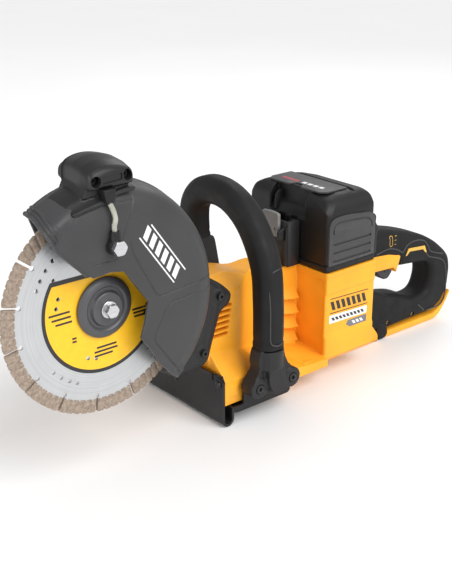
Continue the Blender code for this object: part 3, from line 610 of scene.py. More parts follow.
def cord(name, points, radius, material, closed=False, sides=3):
    """A round bead along a list of points."""
    curve = bpy.data.curves.new(name, "CURVE")
    curve.dimensions = "3D"
    curve.bevel_depth = radius * MM
    curve.bevel_resolution = sides
    curve.use_fill_caps = True
    spline = curve.splines.new("POLY")
    spline.points.add(len(points) - 1)
    spline.use_cyclic_u = closed
    for node, point in zip(spline.points, points):
        node.co = (*(Vector(point) * MM), 1.0)
    draft = bpy.data.objects.new(name + "_curve", curve)
    bpy.context.scene.collection.objects.link(draft)
    bpy.context.view_layer.update()
    graph = bpy.context.evaluated_depsgraph_get()
    mesh = bpy.data.meshes.new_from_object(draft.evaluated_get(graph))
    bpy.data.objects.remove(draft, do_unlink=True)
    work = bmesh.new()
    work.from_mesh(mesh)
    bpy.data.meshes.remove(mesh)
    return smooth(from_bmesh(name, work, material, weld=0.01), 60.0)


def mirrored(points, centre):
    """A half outline of (u, v) points followed by its mirror image across v = centre."""
    return points + [(u, 2 * centre - v) for u, v in reversed(points)]


# ---------------------------------------------------------------- camera, light and floor

def make_stage():
    camera_data = bpy.data.cameras.new("camera")
    camera_data.lens = 64.46
    camera_data.clip_start = 0.05
    camera = bpy.data.objects.new("camera", camera_data)
    camera.location = DATUM + Vector((529.2, 821.0, 399.4)) * MM
    camera.rotation_euler = (math.radians(90 - 21.61), 0.0, math.radians(139.96))
    bpy.context.scene.collection.objects.link(camera)
    bpy.context.scene.camera = camera

    floor_look = Nodes("pale_floor")
    floor_look.out(floor_look.mix(floor_look.noise(3.0), (0.86, 0.86, 0.86), (0.9, 0.9, 0.9)), 0.6)
    work = bmesh.new()
    bmesh.ops.create_grid(work, x_segments=4, y_segments=4, size=6.0)
    mesh = bpy.data.meshes.new("floor")
    work.to_mesh(mesh)
    work.free()
    floor = bpy.data.objects.new("floor", mesh)
    floor.location = (0.0, 0.0, -0.0006)
    bpy.context.scene.collection.objects.link(floor)
    mesh.materials.append(floor_look.material)
    floor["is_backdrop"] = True

    world = bpy.data.worlds.new("studio")
    bpy.context.scene.world = world
    world.use_nodes = True
    back = world.node_tree.nodes["Background"]
    back.inputs["Color"].default_value = (1.0, 1.0, 1.0, 1.0)
    back.inputs["Strength"].default_value = 0.5
    sun = bpy.data.lights.new("soft_key", "SUN")
    sun.energy = 2.7
    sun.angle = math.radians(50.0)
    sun_item = bpy.data.objects.new("soft_key", sun)
    sun_item.rotation_euler = Vector((0.1, -0.75, -0.65)).to_track_quat("-Z", "Y").to_euler()
    bpy.context.scene.collection.objects.link(sun_item)
    add_light("front_fill", (2.2, 0.3, 0.9), 1.4, 20.0)
    add_light("rear_rim", (-1.6, -0.9, 1.6), 1.0, 10.0)
    view = bpy.context.scene.view_settings
    view.view_transform = "Standard"
    view.look = "None"


def add_light(name, spot, size, power):
    lamp = bpy.data.lights.new(name, "AREA")
    lamp.size = size
    lamp.energy = power
    item = bpy.data.objects.new(name, lamp)
    item.location = Vector(spot)
    aim = Vector((0.0, 0.0, 0.15)) - item.location
    item.rotation_euler = aim.to_track_quat("-Z", "Y").to_euler()
    bpy.context.scene.collection.objects.link(item)


# ---------------------------------------------------------------- blade

SEGMENTS = 15
SLOT_PHASE = 1.3
PITCH = 360.0 / SEGMENTS
SLOT_HALF = 1.3
KEYHOLE_AT = 96.5
DISC_EDGE = 101.5
HOLE_CLUSTERS = ((81.8, (48.4, 40.2, 32.3, 25.3)), (68.3, (36.7, 28.6, 19.2)), (55.0, (22.1, 11.7)))


def disc_outline():
    """The steel core, notched by keyhole slots."""
    edge = math.degrees(SLOT_HALF / DISC_EDGE)
    points = []
    for i in range(SEGMENTS):
        middle = i * PITCH + SLOT_PHASE
        points += arc((0, 0), DISC_EDGE, middle - PITCH / 2 + edge, middle + PITCH / 2 - edge, 12)
        axis = math.radians(middle + PITCH / 2)
        along = Vector((math.cos(axis), math.sin(axis)))
        side = Vector((-along.y, along.x))
        for k in range(13):
            t = math.radians(30 + 300 * k / 12)
            points.append(tuple(along * (KEYHOLE_AT + 2.6 * math.cos(t)) - side * 2.6 * math.sin(t)))
    return points


def cluster_spots(radii):
    spots = []
    for radius, angles in HOLE_CLUSTERS:
        if radius not in radii:
            continue
        for quarter in range(4):
            for angle in angles:
                turn = math.radians(angle + 90 * quarter)
                spots.append((radius * math.cos(turn), radius * math.sin(turn)))
    return spots


def segment_mesh(work, index):
    """One rim segment: two grooved faces joined round their edges."""
    start = index * PITCH + SLOT_PHASE - PITCH / 2
    gap = math.degrees(SLOT_HALF / 108.0)
    across, up = 56, 7
    grid = {}
    for side, face, sign in ((0, 0.55, 1.0), (1, -2.95, -1.0)):
        for i in range(across + 1):
            share = i / across
            turn = math.radians(start + gap + (PITCH - 2 * gap) * share)
            for k in range(up + 1):
                height = k / up
                slant = share * 5.0 - 0.55 * height
                groove = max(0.0, 1.0 - abs(slant % 1.0 - 0.5) / 0.17)
                edge = min(share, 1.0 - share) * across
                dip = 0.75 * min(1.0, groove * 1.6) if edge > 2.0 else 0.0
                wear = 0.22 * noise.noise(Vector((share * 9 + index * 7, height * 3, side * 5.0)))
                radius = 100.2 + (115.0 - 100.2) * height
                if k == up:
                    radius -= 0.35 + 0.5 * abs(wear) + 0.9 * min(1.0, groove)
                if k == 0:
                    radius += 0.7 * min(1.0, groove)
                spot = Vector((radius * math.cos(turn), face - sign * (dip + wear * 0.5),
                               radius * math.sin(turn)))
                grid[side, i, k] = work.verts.new(spot * MM)
    for side in (0, 1):
        for i in range(across):
            for k in range(up):
                work.faces.new((grid[side, i, k], grid[side, i + 1, k],
                                grid[side, i + 1, k + 1], grid[side, i, k + 1]))
    rim = [(i, 0) for i in range(across)] + [(across, k) for k in range(up)]
    rim += [(i, up) for i in range(across, 0, -1)] + [(0, k) for k in range(up, 0, -1)]
    for a, b in zip(rim, rim[1:] + rim[:1]):
        work.faces.new((grid[0, a[0], a[1]], grid[0, b[0], b[1]], grid[1, b[0], b[1]], grid[1, a[0], a[1]]))


def make_blade():
    holes = [ring_points(spot, 2.3, 16) for spot in cluster_spots((81.8, 68.3, 55.0))]
    disc = prism("blade_core", [disc_outline(), ring_points((0, 0), 12.9, 48)] + holes, -2.35, -0.05, BLADE)
    show(smooth(disc), "blade", "steel", "diamond_blade")
    work = bmesh.new()
    for index in range(SEGMENTS):
        segment_mesh(work, index)
    show(smooth(from_bmesh("blade_segments", work, GRIT), 40.0), "blade", "steel")

    near = [ring_points(spot, 2.3, 16) for spot in cluster_spots((68.3, 55.0))
            if spot[1] < 38.5 and math.hypot(*spot) < 70.0]
    ring = label_outline(71.0, 39.5)
    inside = label_outline(67.0, 34.7)
    border = prism("blade_label_border", [ring, inside] + label_holes(near, inside, False), -0.05, 0.06,
                   LABEL_BLACK)
    field = prism("blade_label", [inside, ring_points((0, 0), 20.0, 48)] + label_holes(near, inside, True),
                  -0.05, 0.06, LABEL_YELLOW)
    show(border, "blade", "steel")
    show(field, "blade", "steel")
    bars = []
    for x, z, length in LABEL_BARS:
        bars.append(prism("bar", [(x, z), (x - length, z), (x - length, z - 2.2), (x, z - 2.2)],
                          0.03, 0.13, LABEL_BLACK))
    show(merge("blade_label_bars", bars, LABEL_BLACK), "blade", "steel")
    make_flanges()


LABEL_BARS = ((63.0, 6.0, 24.0), (60.0, 0.6, 22.0), (56.0, -4.8, 19.0), (10.0, -42.0, 24.0),
              (13.0, -46.4, 28.0), (13.0, -50.8, 22.0), (38.0, -24.0, 5.0), (38.0, -27.6, 5.0),
              (-35.0, -12.0, 17.0), (-36.0, -16.0, 17.0), (-37.0, -20.0, 14.0))


def label_outline(radius, chord):
    """A disc cut off by a straight chord near its top."""
    turn = math.degrees(math.asin(chord / radius))
    return arc((0, 0), radius, 180.0 - turn, 360.0 + turn, 88)


def label_holes(holes, inside, wanted):
    """The holes that lie in the label's field, or else in its border."""
    chosen = []
    for hole in holes:
        middle = (sum(p[0] for p in hole) / len(hole), sum(p[1] for p in hole) / len(hole))
        distance = outline_distance(middle, inside)
        if (distance < -2.6) == wanted and abs(distance) > 2.45 and math.hypot(*middle) < 68.9:
            chosen.append(hole)
    return chosen


def make_flanges():
    outer = [(5.9, 9.4), (16.6, 9.4), (17.6, 8.7), (18.2, 6.6), (19.2, 5.4), (21.6, 5.2), (22.6, 6.4),
             (24.0, 7.1), (26.0, 6.9), (28.4, 5.9), (31.2, 4.3), (32.0, 3.4), (32.0, 0.9), (31.4, 0.3),
             (5.6, 0.3), (5.6, 9.0)]
    show(lathe("flange_outer", outer, FLANGE), "blade", "dark_aluminium", "outer_flange")
    inner = [(12.6, -0.6), (12.6, -2.6), (31.2, -2.6), (32.0, -3.4), (32.0, -7.6), (31.2, -8.4), (10.3, -8.4),
             (10.3, -0.6)]
    show(lathe("flange_inner", inner, FLANGE), "blade", "dark_aluminium", "inner_flange")
    bolt = hex_head("blade_bolt_head", (0.0, 0.0), 7.4, 11.4, 18.4, STEEL)
    washer = lathe("washer", [(0.0, 11.6), (8.6, 11.6), (9.0, 11.2), (9.0, 9.8), (8.6, 9.45), (4.9, 9.45),
                              (4.9, -19.8), (0.0, -19.8)], STEEL)
    show(smooth(merge("blade_bolt_piece", [bolt, washer], STEEL)), "blade", "steel", "blade_bolt")


def hex_head(name, at, radius, low, high, material):
    """A hexagon head whose corners are turned off at the top."""
    head = prism(name, ring_points(at, radius, 6), low, high, material)
    cone = lathe("cone", [(0.0, high), (radius * 0.92, high), (radius * 1.02, high - 0.9),
                          (radius * 1.02, low - 1.0), (0.0, low - 1.0)], material, at, 48)
    return smooth(cut(head, cone, operation="INTERSECT"), 25.0)


# ---------------------------------------------------------------- guard

GUARD_INNER = [(36.0, 48.0), (29.0, 43.5), (9.0, 46.0), (-7.0, 43.5), (-21.0, 25.0), (-36.0, 5.0),
               (-32.0, -14.0), (-26.0, -34.0), (-48.0, -68.0)]
GUARD_RIM = [(49.0, 131.0), (66.0, 131.0), (72.0, 130.0), (240.0, 130.0)]
NOSE_SHARE = [(49.0, 1.0), (62.0, 1.0), (84.0, 0.0), (240.0, 0.0)]
FRONT_PANEL = [(28.0, 57.0), (0.0, 58.0), (-6.0, 73.0), (-27.0, 125.0), (-33.0, 145.0), (85.0, 145.0),
               (64.0, 104.0)]
REAR_PANEL = [(-17.0, 72.0), (-19.0, 60.0), (-46.0, 10.0), (-52.0, 6.5), (-110.0, 11.5), (-135.0, 13.5)]
LOWER_PANEL = [(-135.0, 1.0), (-66.0, -3.5), (-59.0, -8.0), (-43.0, -34.0), (-43.0, -42.0), (-60.0, -66.0),
               (-78.0, -90.0)]
TOP_SEAM = [(-2.0, 113.5), (-23.0, 113.5)]
ARROW = ((31.0, 108.5), (52.0, 100.0), (46.0, 107.5), (52.0, 100.0), (43.0, 99.0))


def guard_inner_radius(turn):
    """Distance from the spindle to the guard's inner edge in one direction."""
    along = Vector((math.cos(turn), math.sin(turn)))
    best = 60.0
    for (ax, ay), (bx, by) in zip(GUARD_INNER, GUARD_INNER[1:]):
        ex, ey = bx - ax, by - ay
        cross = along.x * ey - along.y * ex
        if abs(cross) < 1e-9:
            continue
        reach = (ax * ey - ay * ex) / cross
        share = (ax * along.y - ay * along.x) / cross
        if reach > 0 and -0.001 <= share <= 1.001:
            best = reach
    return best


def front_turn(radius):
    """Angle of the guard's front edge at a distance from the spindle."""
    return math.radians(lerp_table([(60.0, 53.1), (80.0, 51.1), (95.0, 50.2), (108.0, 50.2), (121.0, 51.6),
                                    (127.0, 53.2), (131.0, 55.2)], radius))


def rear_turn(radius):
    return math.radians(lerp_table([(42.8, 232.6), (83.0, 234.8), (110.0, 233.0), (130.0, 230.5)], radius))


def line_distance(point, line):
    x, y = point
    best = 1e9
    for (ax, ay), (bx, by) in zip(line, line[1:]):
        ex, ey = bx - ax, by - ay
        t = max(0.0, min(1.0, ((x - ax) * ex + (y - ay) * ey) / (ex * ex + ey * ey)))
        best = min(best, (x - ax - t * ex) ** 2 + (y - ay - t * ey) ** 2)
    return math.sqrt(best)


def guard_relief(x, z, radius, front, flat):
    """Height of the raised panels, seams and ribs over the guard's plain skin."""
    point = (x, z)
    height = 0.5 * step_up(outline_distance(point, FRONT_PANEL), 1.6)
    height -= 0.9 * step_up(line_distance(point, FRONT_PANEL[:4]) - 0.7, 0.9)
    height -= 0.9 * step_up(line_distance(point, REAR_PANEL) - 0.7, 0.9)
    height -= 0.9 * step_up(line_distance(point, LOWER_PANEL) - 0.7, 0.9)
    height -= 0.8 * step_up(line_distance(point, TOP_SEAM) - 0.7, 0.9)
    if flat:
        height += 0.45 * step_up(line_distance(point, ARROW) - 1.1, 0.9)
        height += 1.0 * step_up(front - 2.2, 1.6)
    for offset in (2.4, 6.2, 10.0):
        near = abs(front - offset) - 0.9
        height += 1.3 * step_up(near, 1.3) * step_up(108.0 - radius, 5.0)
    return height


def guard_section(inner, outer, nose):
    """The guard's cross-section from its inner edge, over the shoulder, down the rim; boxier at its nose."""
    round_ = [(27.0, 28.0), (17.0, 25.6), (9.0, 20.4), (3.6, 12.6), (0.6, 2.0), (0.0, -6.0)]
    boxy = [(21.0, 28.0), (12.0, 27.2), (7.0, 22.6), (3.2, 12.6), (0.6, 2.0), (0.0, -6.0)]
    mixed = [(outer - (a + (c - a) * nose), b + (d - b) * nose) for (a, b), (c, d) in zip(round_, boxy)]
    shoulder = spline_through(mixed, 6)
    points = [Vector((inner, GUARD_FACE)), Vector(((inner + outer - 27.0) / 2, GUARD_FACE))] + shoulder
    points += [Vector((outer + 0.1, -7.4)), Vector((outer + 1.5, -8.4)), Vector((outer + 1.5, -11.6))]
    return points


def sample_line(points, count):
    """Evenly spaced points along a line of points."""
    lengths = [0.0]
    for a, b in zip(points, points[1:]):
        lengths.append(lengths[-1] + (b - a).length)
    picked = []
    k = 0
    for i in range(count + 1):
        wanted = lengths[-1] * i / count
        while k < len(points) - 2 and lengths[k + 1] < wanted:
            k += 1
        span = max(1e-9, lengths[k + 1] - lengths[k])
        picked.append(points[k].lerp(points[k + 1], min(1.0, (wanted - lengths[k]) / span)))
    return picked


def make_guard_shell():
    across, along = 300, 118
    rows = []
    for i in range(across + 1):
        share = i / across
        guess = math.radians(51.0 + (232.0 - 51.0) * share)
        section = sample_line(guard_section(guard_inner_radius(guess),
                                            lerp_table(GUARD_RIM, math.degrees(guess)),
                                            lerp_table(NOSE_SHARE, math.degrees(guess))), along)
        row = []
        for radius, depth in section:
            first, last = front_turn(radius), rear_turn(radius)
            turn = first + (last - first) * share
            row.append((radius, depth, turn))
        rows.append(row)
    work = bmesh.new()
    verts = []
    for row in rows:
        line = []
        for k, (radius, depth, turn) in enumerate(row):
            before = row[max(k - 1, 0)]
            after = row[min(k + 1, len(row) - 1)]
            slope = Vector((after[0] - before[0], after[1] - before[1])).normalized()
            outward, sideways = -slope.y, slope.x
            x, z = radius * math.cos(turn), radius * math.sin(turn)
            front = radius * math.sin(max(0.0, turn - front_turn(radius)))
            flat = depth > GUARD_FACE - 0.5
            lift = guard_relief(x, z, radius, front, flat)
            swollen = radius + outward * lift
            spot = Vector((swollen * math.cos(turn), depth + sideways * lift, swollen * math.sin(turn)))
            line.append(work.verts.new(spot * MM))
        verts.append(line)
    for a, b in zip(verts, verts[1:]):
        for k in range(len(a) - 1):
            work.faces.new((a[k], a[k + 1], b[k + 1], b[k]))
    skin = from_bmesh("guard_skin", work, GREY)
    if sum(face.normal.y for face in skin.data.polygons) < 0:
        skin.data.flip_normals()
    wall = skin.modifiers.new("wall", "SOLIDIFY")
    wall.thickness = 2.6 * MM
    wall.offset = -1.0
    settle(skin)
    return show(smooth(skin, 50.0), "guard", "grey_plastic", "guard_shell", "guard_lip")


def make_nose_rim():
    """The rolled rim along the guard's front edge, round its shoulder and down to its back."""
    section = sample_line(guard_section(104.0, 131.0, 1.0), 40)
    path = []
    for radius, depth in section[8:]:
        turn = front_turn(radius) + math.radians(0.9)
        path.append(((radius - 1.4) * math.cos(turn), depth - 1.2, (radius - 1.4) * math.sin(turn)))
    show(cord("guard_nose_rim", path, 2.4, GREY, sides=5), "guard", "grey_plastic")


def make_guard():
    make_guard_shell()
    make_nose_rim()
    rim = arc((0, 0), 129.2, 56.5, 228.0, 120)
    hub = arc((0, 0), 44.0, 252.0, 386.0, 60)
    back = prism("guard_back_plate", [rim + hub, ring_points((0, 0), 28.4, 72)], -14.6, -11.9, GREY)
    ribs = [prism("rib", [rim_point(34.0, a - 1.2), rim_point(120.0, a - 0.4), rim_point(120.0, a + 0.4),
                          rim_point(34.0, a + 1.2)], -17.0, -12.5, GREY) for a in (60, 90, 120, 150)]
    show(soften(merge("guard_back_piece", [back] + ribs, GREY), 0.5, 2), "guard", "grey_plastic",
         "guard_back")
    make_guard_bars()
    make_grip()
    make_water_line()


def rim_point(radius, angle):
    return (radius * math.cos(math.radians(angle)), radius * math.sin(math.radians(angle)))


def slanted_bars(start, stop, width, count):
    """Parallelograms in a row from one point to another, in their plane."""
    start, stop = Vector(start), Vector(stop)
    along = (stop - start) / count
    across = Vector((-along.y, along.x)).normalized() * width / 2
    shapes = []
    for i in range(count):
        left = start + along * i
        right = left + along * BAR_FILL
        skew = along * BAR_LEAN
        shapes.append([tuple(left - across - skew), tuple(right - across - skew),
                       tuple(right + across + skew), tuple(left + across + skew)])
    return shapes


def make_guard_bars():
    """Plain slanted bars between two thin lines, where the maker's sign would be."""
    first, last = Vector((-34.5, 79.0)), Vector((-75.5, 22.5))
    shapes = slanted_bars(first, last, 12.0, 6)
    across = Vector((last.y - first.y, first.x - last.x)).normalized()
    for side in (-1.0, 1.0):
        offset = across * 9.0 * side
        thin = across * 0.7
        shapes.append([tuple(first + offset - thin), tuple(last + offset - thin),
                       tuple(last + offset + thin), tuple(first + offset + thin)])
    bars = [prism("bar", shape, GUARD_FACE - 0.2, GUARD_FACE + 0.15, LABEL_WHITE) for shape in shapes]
    show(merge("guard_plain_bars", bars, LABEL_WHITE), "guard", "grey_plastic")


# The grip's cross-section along Y: front, rear, bottom, top and corner radius
GRIP_SECTIONS = ((31.0, 24.0, -19.0, 133.5, 146.0, 4.0), (29.5, 27.0, -21.5, 131.5, 149.0, 6.5),
                 (26.0, 28.5, -23.5, 130.5, 151.8, 9.0), (14.0, 28.5, -24.0, 130.0, 155.4, 11.0),
                 (-2.0, 27.5, -24.0, 130.0, 157.2, 12.0), (-16.0, 27.0, -24.0, 131.0, 156.0, 12.0),
                 (-19.0, 27.6, -23.6, 131.0, 154.8, 12.0), (-26.0, 28.0, -22.0, 134.0, 150.5, 9.0),
                 (-31.0, 24.0, -17.0, 138.0, 145.0, 4.0))


def grip_row(depth, front, rear, bottom, top, corner):
    crown = 2.2
    outline = fillet([(front, bottom, 2.0), (front - 1.0, top - 5.0, corner),
                      (front - 14.0, top - 0.6, corner),
                      ((front + rear) / 2, top, 10.0), (rear + 12.0, top - crown, corner),
                      (rear, top - 8.0, corner), (rear + 1.0, bottom, 2.0)], corner, 5)
    return [(x, depth, z) for x, z in outline]


def saddle_patch():
    """Skin hugging the guard's shoulder under the grip."""
    rows = []
    for i in range(25):
        angle = 67.0 + (101.0 - 67.0) * i / 24
        start = lerp_table([(67.0, 122.0), (70.0, 119.6), (79.0, 118.0), (86.0, 119.5), (92.0, 126.0),
                            (101.0, 129.0)], angle)
        depth_end = lerp_table([(67.0, -6.0), (72.0, -14.0), (101.0, -14.0)], angle)
        profile = [Vector(p) for p in ((start, 29.6), (122.0, 24.0), (127.0, 18.4), (130.4, 9.0),
                                       (132.0, -2.0),
                                       (132.0, depth_end))]
        profile = [p for p in profile if p.x >= start - 0.01 or p is profile[0]]
        outer = sample_line(profile, 16)
        inner = [Vector((p.x - 5.0, p.y - 2.0)) for p in outer]
        loop = outer + inner[::-1]
        c, s = math.cos(math.radians(angle)), math.sin(math.radians(angle))
        rows.append([(p.x * c, p.y, p.x * s) for p in loop])
    return grid_mesh("saddle", rows, SATIN, close_rows=True, caps=True)


def make_grip():
    rows = [grip_row(*section) for section in GRIP_SECTIONS]
    count = len(rows[0])
    lofted = []
    for a, b in zip(rows, rows[1:]):
        steps = max(2, int(abs(a[0][1] - b[0][1]) / 2.0))
        for k in range(steps):
            t = k / steps
            lofted.append([tuple(Vector(p).lerp(Vector(q), t)) for p, q in zip(a, b)])
    lofted.append(rows[-1])
    assert all(len(row) == count for row in lofted)
    bar = grid_mesh("grip_bar", lofted, SATIN, close_rows=True, caps=True)
    neck = prism("neck", fillet([(33.0, 122.0), (27.0, 134.0), (24.0, 140.0), (-20.0, 140.0), (-20.0, 128.0),
                                 (0.0, 126.0)], 3.0), -20.0, 24.0, SATIN)
    body = merge("grip_body", [bar, saddle_patch(), neck], SATIN)
    mould(body, 1.0, 5, 0.6)
    strip = prism("strip", fillet([(14.5, 142.2), (-8.0, 143.4), (-8.0, 136.6), (14.5, 135.2)], 1.5),
                  29.6, 40.0, SATIN)
    seats = [rod("seat", 5.3, 19.0, 40.0, SATIN, at=spot, sides=40)
             for spot in ((21.0, 138.6), (-14.5, 140.0))]
    cut(body, strip, *seats)
    show(smooth(body, 50.0), "guard", "black_plastic", "guard_grip")
    seam_path = [(x, -19.0, z) for x, _, z in grip_row(-19.0, 27.7, -23.8, 131.0, 155.0, 12.0)][4:-4]
    show(cord("grip_seam", seam_path, 0.55, RUBBER), "guard", "black_plastic")
    for name, spot in (("grip_screw_front", (21.0, 138.6)), ("grip_screw_rear", (-14.5, 140.0))):
        show(socket_screw(name + "_piece", spot, 20.3, 4.4, BURNT, 14.0), "guard", "black_steel", name)


def socket_screw(name, at, seat, head, material, length=10.0):
    """A round screw head with a six-lobed recess, along Y."""
    profile = [(0.0, seat + 3.9), (head - 0.8, seat + 3.9), (head - 0.15, seat + 3.6), (head, seat + 2.9),
               (head, seat + 0.1), (2.4, seat), (2.4, seat - length), (0.0, seat - length)]
    screw = lathe(name, profile, material, at, 40)
    lobes = []
    for i in range(48):
        turn = 2 * math.pi * i / 48
        radius = head * (0.46 + 0.09 * math.cos(6 * turn))
        lobes.append((at[0] + radius * math.cos(turn), at[1] + radius * math.sin(turn)))
    return smooth(cut(screw, prism("recess", lobes, seat + 1.6, seat + 6.0, material)), 30.0)


def make_water_line():
    x, z = WATER_AT
    profile = [(4.4, 28.6), (8.2, 28.6), (8.6, 29.2), (8.6, 33.6), (8.0, 35.6), (6.8, 36.2), (4.4, 36.2)]
    eye = lathe("eye", profile, BLACK, WATER_AT, 48)
    neck = lathe("neck", [(0.0, z + 4.0), (5.4, z + 4.0), (5.4, z + 10.0), (4.6, z + 14.0), (4.2, z + 15.4),
                          (0.0, z + 15.4)], BLACK, (x, 32.3), 32, "Z")
    show(merge("banjo_piece", [eye, neck], BLACK), "guard", "black_plastic", "banjo_fitting")
    smooth(bpy.data.objects["banjo_piece"])
    head = hex_head("water_bolt_head", WATER_AT, 8.0, 36.8, 42.0, STEEL)
    shank = rod("shank", 4.0, 22.0, 37.0, STEEL, at=WATER_AT)
    show(smooth(merge("water_bolt_piece", [head, shank], STEEL), 25.0), "guard", "steel", "water_bolt")
    route = [(x, 32.3, z + 13.4), (x + 0.4, 32.6, z + 20), (x - 0.6, 33.4, z + 27), (x + 0.8, 33.0, z + 35),
             (x + 3.5, 31.0, z + 43.5)]
    tube = cord("water_tube_piece", spline_through(route, 8), 2.5, VINYL, sides=6)
    show(tube, "guard", "clear_tube", "water_tube")
    rows = []
    for height, half_x, half_y, lean in ((115.6, 3.6, 4.2, 7.4), (117.0, 4.6, 5.2, 7.4),
                                         (120.0, 5.6, 6.0, 7.6),
                                         (126.0, 6.6, 6.6, 8.2), (130.5, 7.2, 6.8, 8.6)):
        outline = fillet([(lean - half_x, 29.4 - half_y), (lean + half_x, 29.4 - half_y),
                          (lean + half_x, 29.4 + half_y * 0.8), (lean - half_x, 29.4 + half_y * 0.8)], 2.0, 4)
        rows.append([(px, py, height) for px, py in outline])
    tee = grid_mesh("water_tee_piece", rows, BLACK, close_rows=True, caps=True)
    show(soften(tee, 0.6, 2, 50.0), "guard", "black_plastic", "water_tee")


# ---------------------------------------------------------------- gear case, cover and motor

def case_outline(grow=0.0):
    nose = arc((0.0, 0.0), 46.0 + grow, 108, -72, 40)
    rear = [(-100, -117 - grow, 6.0), (-143, -117 - grow, 6.0), (-150 - grow, -112, 5.0),
            (-156 - grow, -92, 10.0), (-168 - grow, -57, 5.0), (-182 - grow, -50 - grow, 5.0),
            (-185 - grow, -38, 5.0), (-171 - grow, -24 + grow, 8.0), (-147, -8 + grow, 12.0),
            (-118, -5 + grow, 8.0)]
    return fillet([(x, z, 0.0) for x, z in nose] + rear, 6.0)


COVER_SCREWS = ((-163.0, -35.0), (-139.0, -98.0))


def make_gear_case():
    case = plate("gear_case_piece", case_outline(-0.4), -57.0, -28.5, CAST, 2.0)
    show(case, "body", "dark_aluminium", "gear_case")
    cover = plate("cover", case_outline(-0.2), -28.2, -17.4, CHARCOAL, 2.5)
    lid = plate("lid", case_outline(-5.0), -20.0, -15.2, CHARCOAL, 1.6)
    bosses = [plate("boss", ring_points(spot, 8.6, 40), -27.6, -13.9, CHARCOAL, 1.2) for spot in COVER_SCREWS]
    hub = plate("hub", ring_points((0, 0), 28.0, 72), -18.3, -9.6, CHARCOAL, 1.0)
    rib = plate("rib", fillet([(-156.0, -42.0), (-162.0, -45.0), (-145.0, -96.0), (-138.0, -92.0)], 2.0),
                -20.0, -13.6, CHARCOAL, 1.0)
    body = merge("gear_cover_piece", [cover, lid, hub, rib] + bosses, CHARCOAL)
    mould(body, 1.2, 4)
    holes = [rod("bore", 5.2, -13.9, -8.0, CHARCOAL, at=spot) for spot in COVER_SCREWS]
    holes.append(rod("bore", 11.2, -40.0, 0.0, CHARCOAL, sides=48))
    show(smooth(cut(body, *holes), 50.0), "body", "black_plastic", "gear_cover")
    for i, spot in enumerate(COVER_SCREWS):
        name = "gear_cover_screw_%d" % (i + 1)
        show(socket_screw(name + "_piece", spot, -13.8, 4.4, BURNT), "body", "steel", name)


def make_motor_housing():
    profile = [(47.0, -57.6), (47.0, -62.0), (46.2, -63.2), (46.2, -68.0), (47.0, -69.2), (47.0, -138.0),
               (45.6, -145.0), (41.0, -150.4), (36.0, -152.0), (9.0, -152.0), (8.0, -151.0), (8.0, -148.0),
               (39.0, -148.0), (43.0, -142.5), (43.0, -57.6)]
    drum = lathe("motor_housing_piece", profile, YELLOW, MOTOR_AT, 120)
    cutters = []
    for i in range(16):
        turn = math.radians(22.5 * i + 6)
        along = Vector((math.cos(turn), math.sin(turn)))
        side = Vector((-along.y, along.x)) * 2.0
        middle = Vector(MOTOR_AT)
        shape = [middle + along * 16 - side, middle + along * 35 - side * 1.5,
                 middle + along * 35 + side * 1.5,
                 middle + along * 16 + side]
        cutters.append(prism("slot", fillet([tuple(p) for p in shape], 1.8), -156.0, -140.0, YELLOW))
    cut(drum, merge("slots", cutters, YELLOW))
    show(smooth(drum), "body", "yellow_plastic", "motor_housing")


# ---------------------------------------------------------------- housings

def skirt(rows):
    """The yellow foot of the housing; each row is X and the (y, z) line of its top."""
    lofted = []
    for x, top in rows:
        line = [(x, y, z) for y, z in top]
        line += [(x, top[-1][0], BLOCK_BASE), (x, top[0][0], BLOCK_BASE)]
        lofted.append(line)
    return grid_mesh("skirt", lofted, YELLOW, close_rows=True, caps=True)


def waist_plan():
    """Top view of the waist: full width beside the motor, narrow ahead of the battery."""
    return [(-150.0, WAIST_RIGHT), (-150.0, WAIST_LEFT), (-219.0, WAIST_LEFT, 5.0), (-268.0, -78.0, 16.0),
            (-352.0, -78.0), (-352.0, WAIST_RIGHT)]


def make_waist():
    side = fillet([(-151.0, -33.0), (-151.0, -117.0), (-171.0, -128.0), (-178.0, BLOCK_BASE),
                   (-350.0, BLOCK_BASE), (-350.0, BLOCK_TOP), (-302.0, BLOCK_TOP), (-286.0, -41.0, 10.0),
                   (-250.0, -43.0, 12.0), (-231.0, -37.0, 10.0), (-217.0, -33.0, 8.0)], 5.0)
    waist = prism("waist", side, -140.0, -40.0, YELLOW)
    plan = prism("plan", fillet(waist_plan(), 2.0), -200.0, 20.0, YELLOW, axis="Z")
    cut(waist, plan, operation="INTERSECT")
    corner = [(WAIST_LEFT + 6.0, 10.0), (WAIST_LEFT + 6.0, -53.0), (WAIST_LEFT - 2.0, -47.0),
              (WAIST_LEFT - 24.0, -33.0), (WAIST_LEFT - 40.0, -20.0), (WAIST_LEFT - 40.0, 10.0)]
    cut(waist, prism("chamfer", corner, -345.0, -150.0, YELLOW, axis="X"))
    vents = []
    for k in range(6):
        z = -64.0 - 7.0 * k
        x = -207.0 + 1.2 * k
        vents.append(prism("vent", [(x, z), (x, z - 4.0), (-166.0, z - 4.4), (-166.0, z + 0.4)],
                           -66.0, -40.0, YELLOW))
    cut(waist, merge("vents", vents, YELLOW))
    return waist


def louvre(z):
    """A wedge standing off the narrow waist just ahead of the battery block."""
    rows = []
    for x, out, drop in ((-341.0, 9.0, 10.0), (-330.0, 8.0, 9.4), (-316.0, 5.0, 7.4), (-302.0, -0.6, 3.0)):
        rows.append([(x, -80.0, z + 6.0), (x, -78.0, z + 6.0), (x, -78.0 + out, z - drop + 4.0),
                     (x, -78.0 + out, z - drop + 2.0), (x, -80.0, z - drop + 2.0)])
    return grid_mesh("louvre", rows, YELLOW, close_rows=True, caps=True)


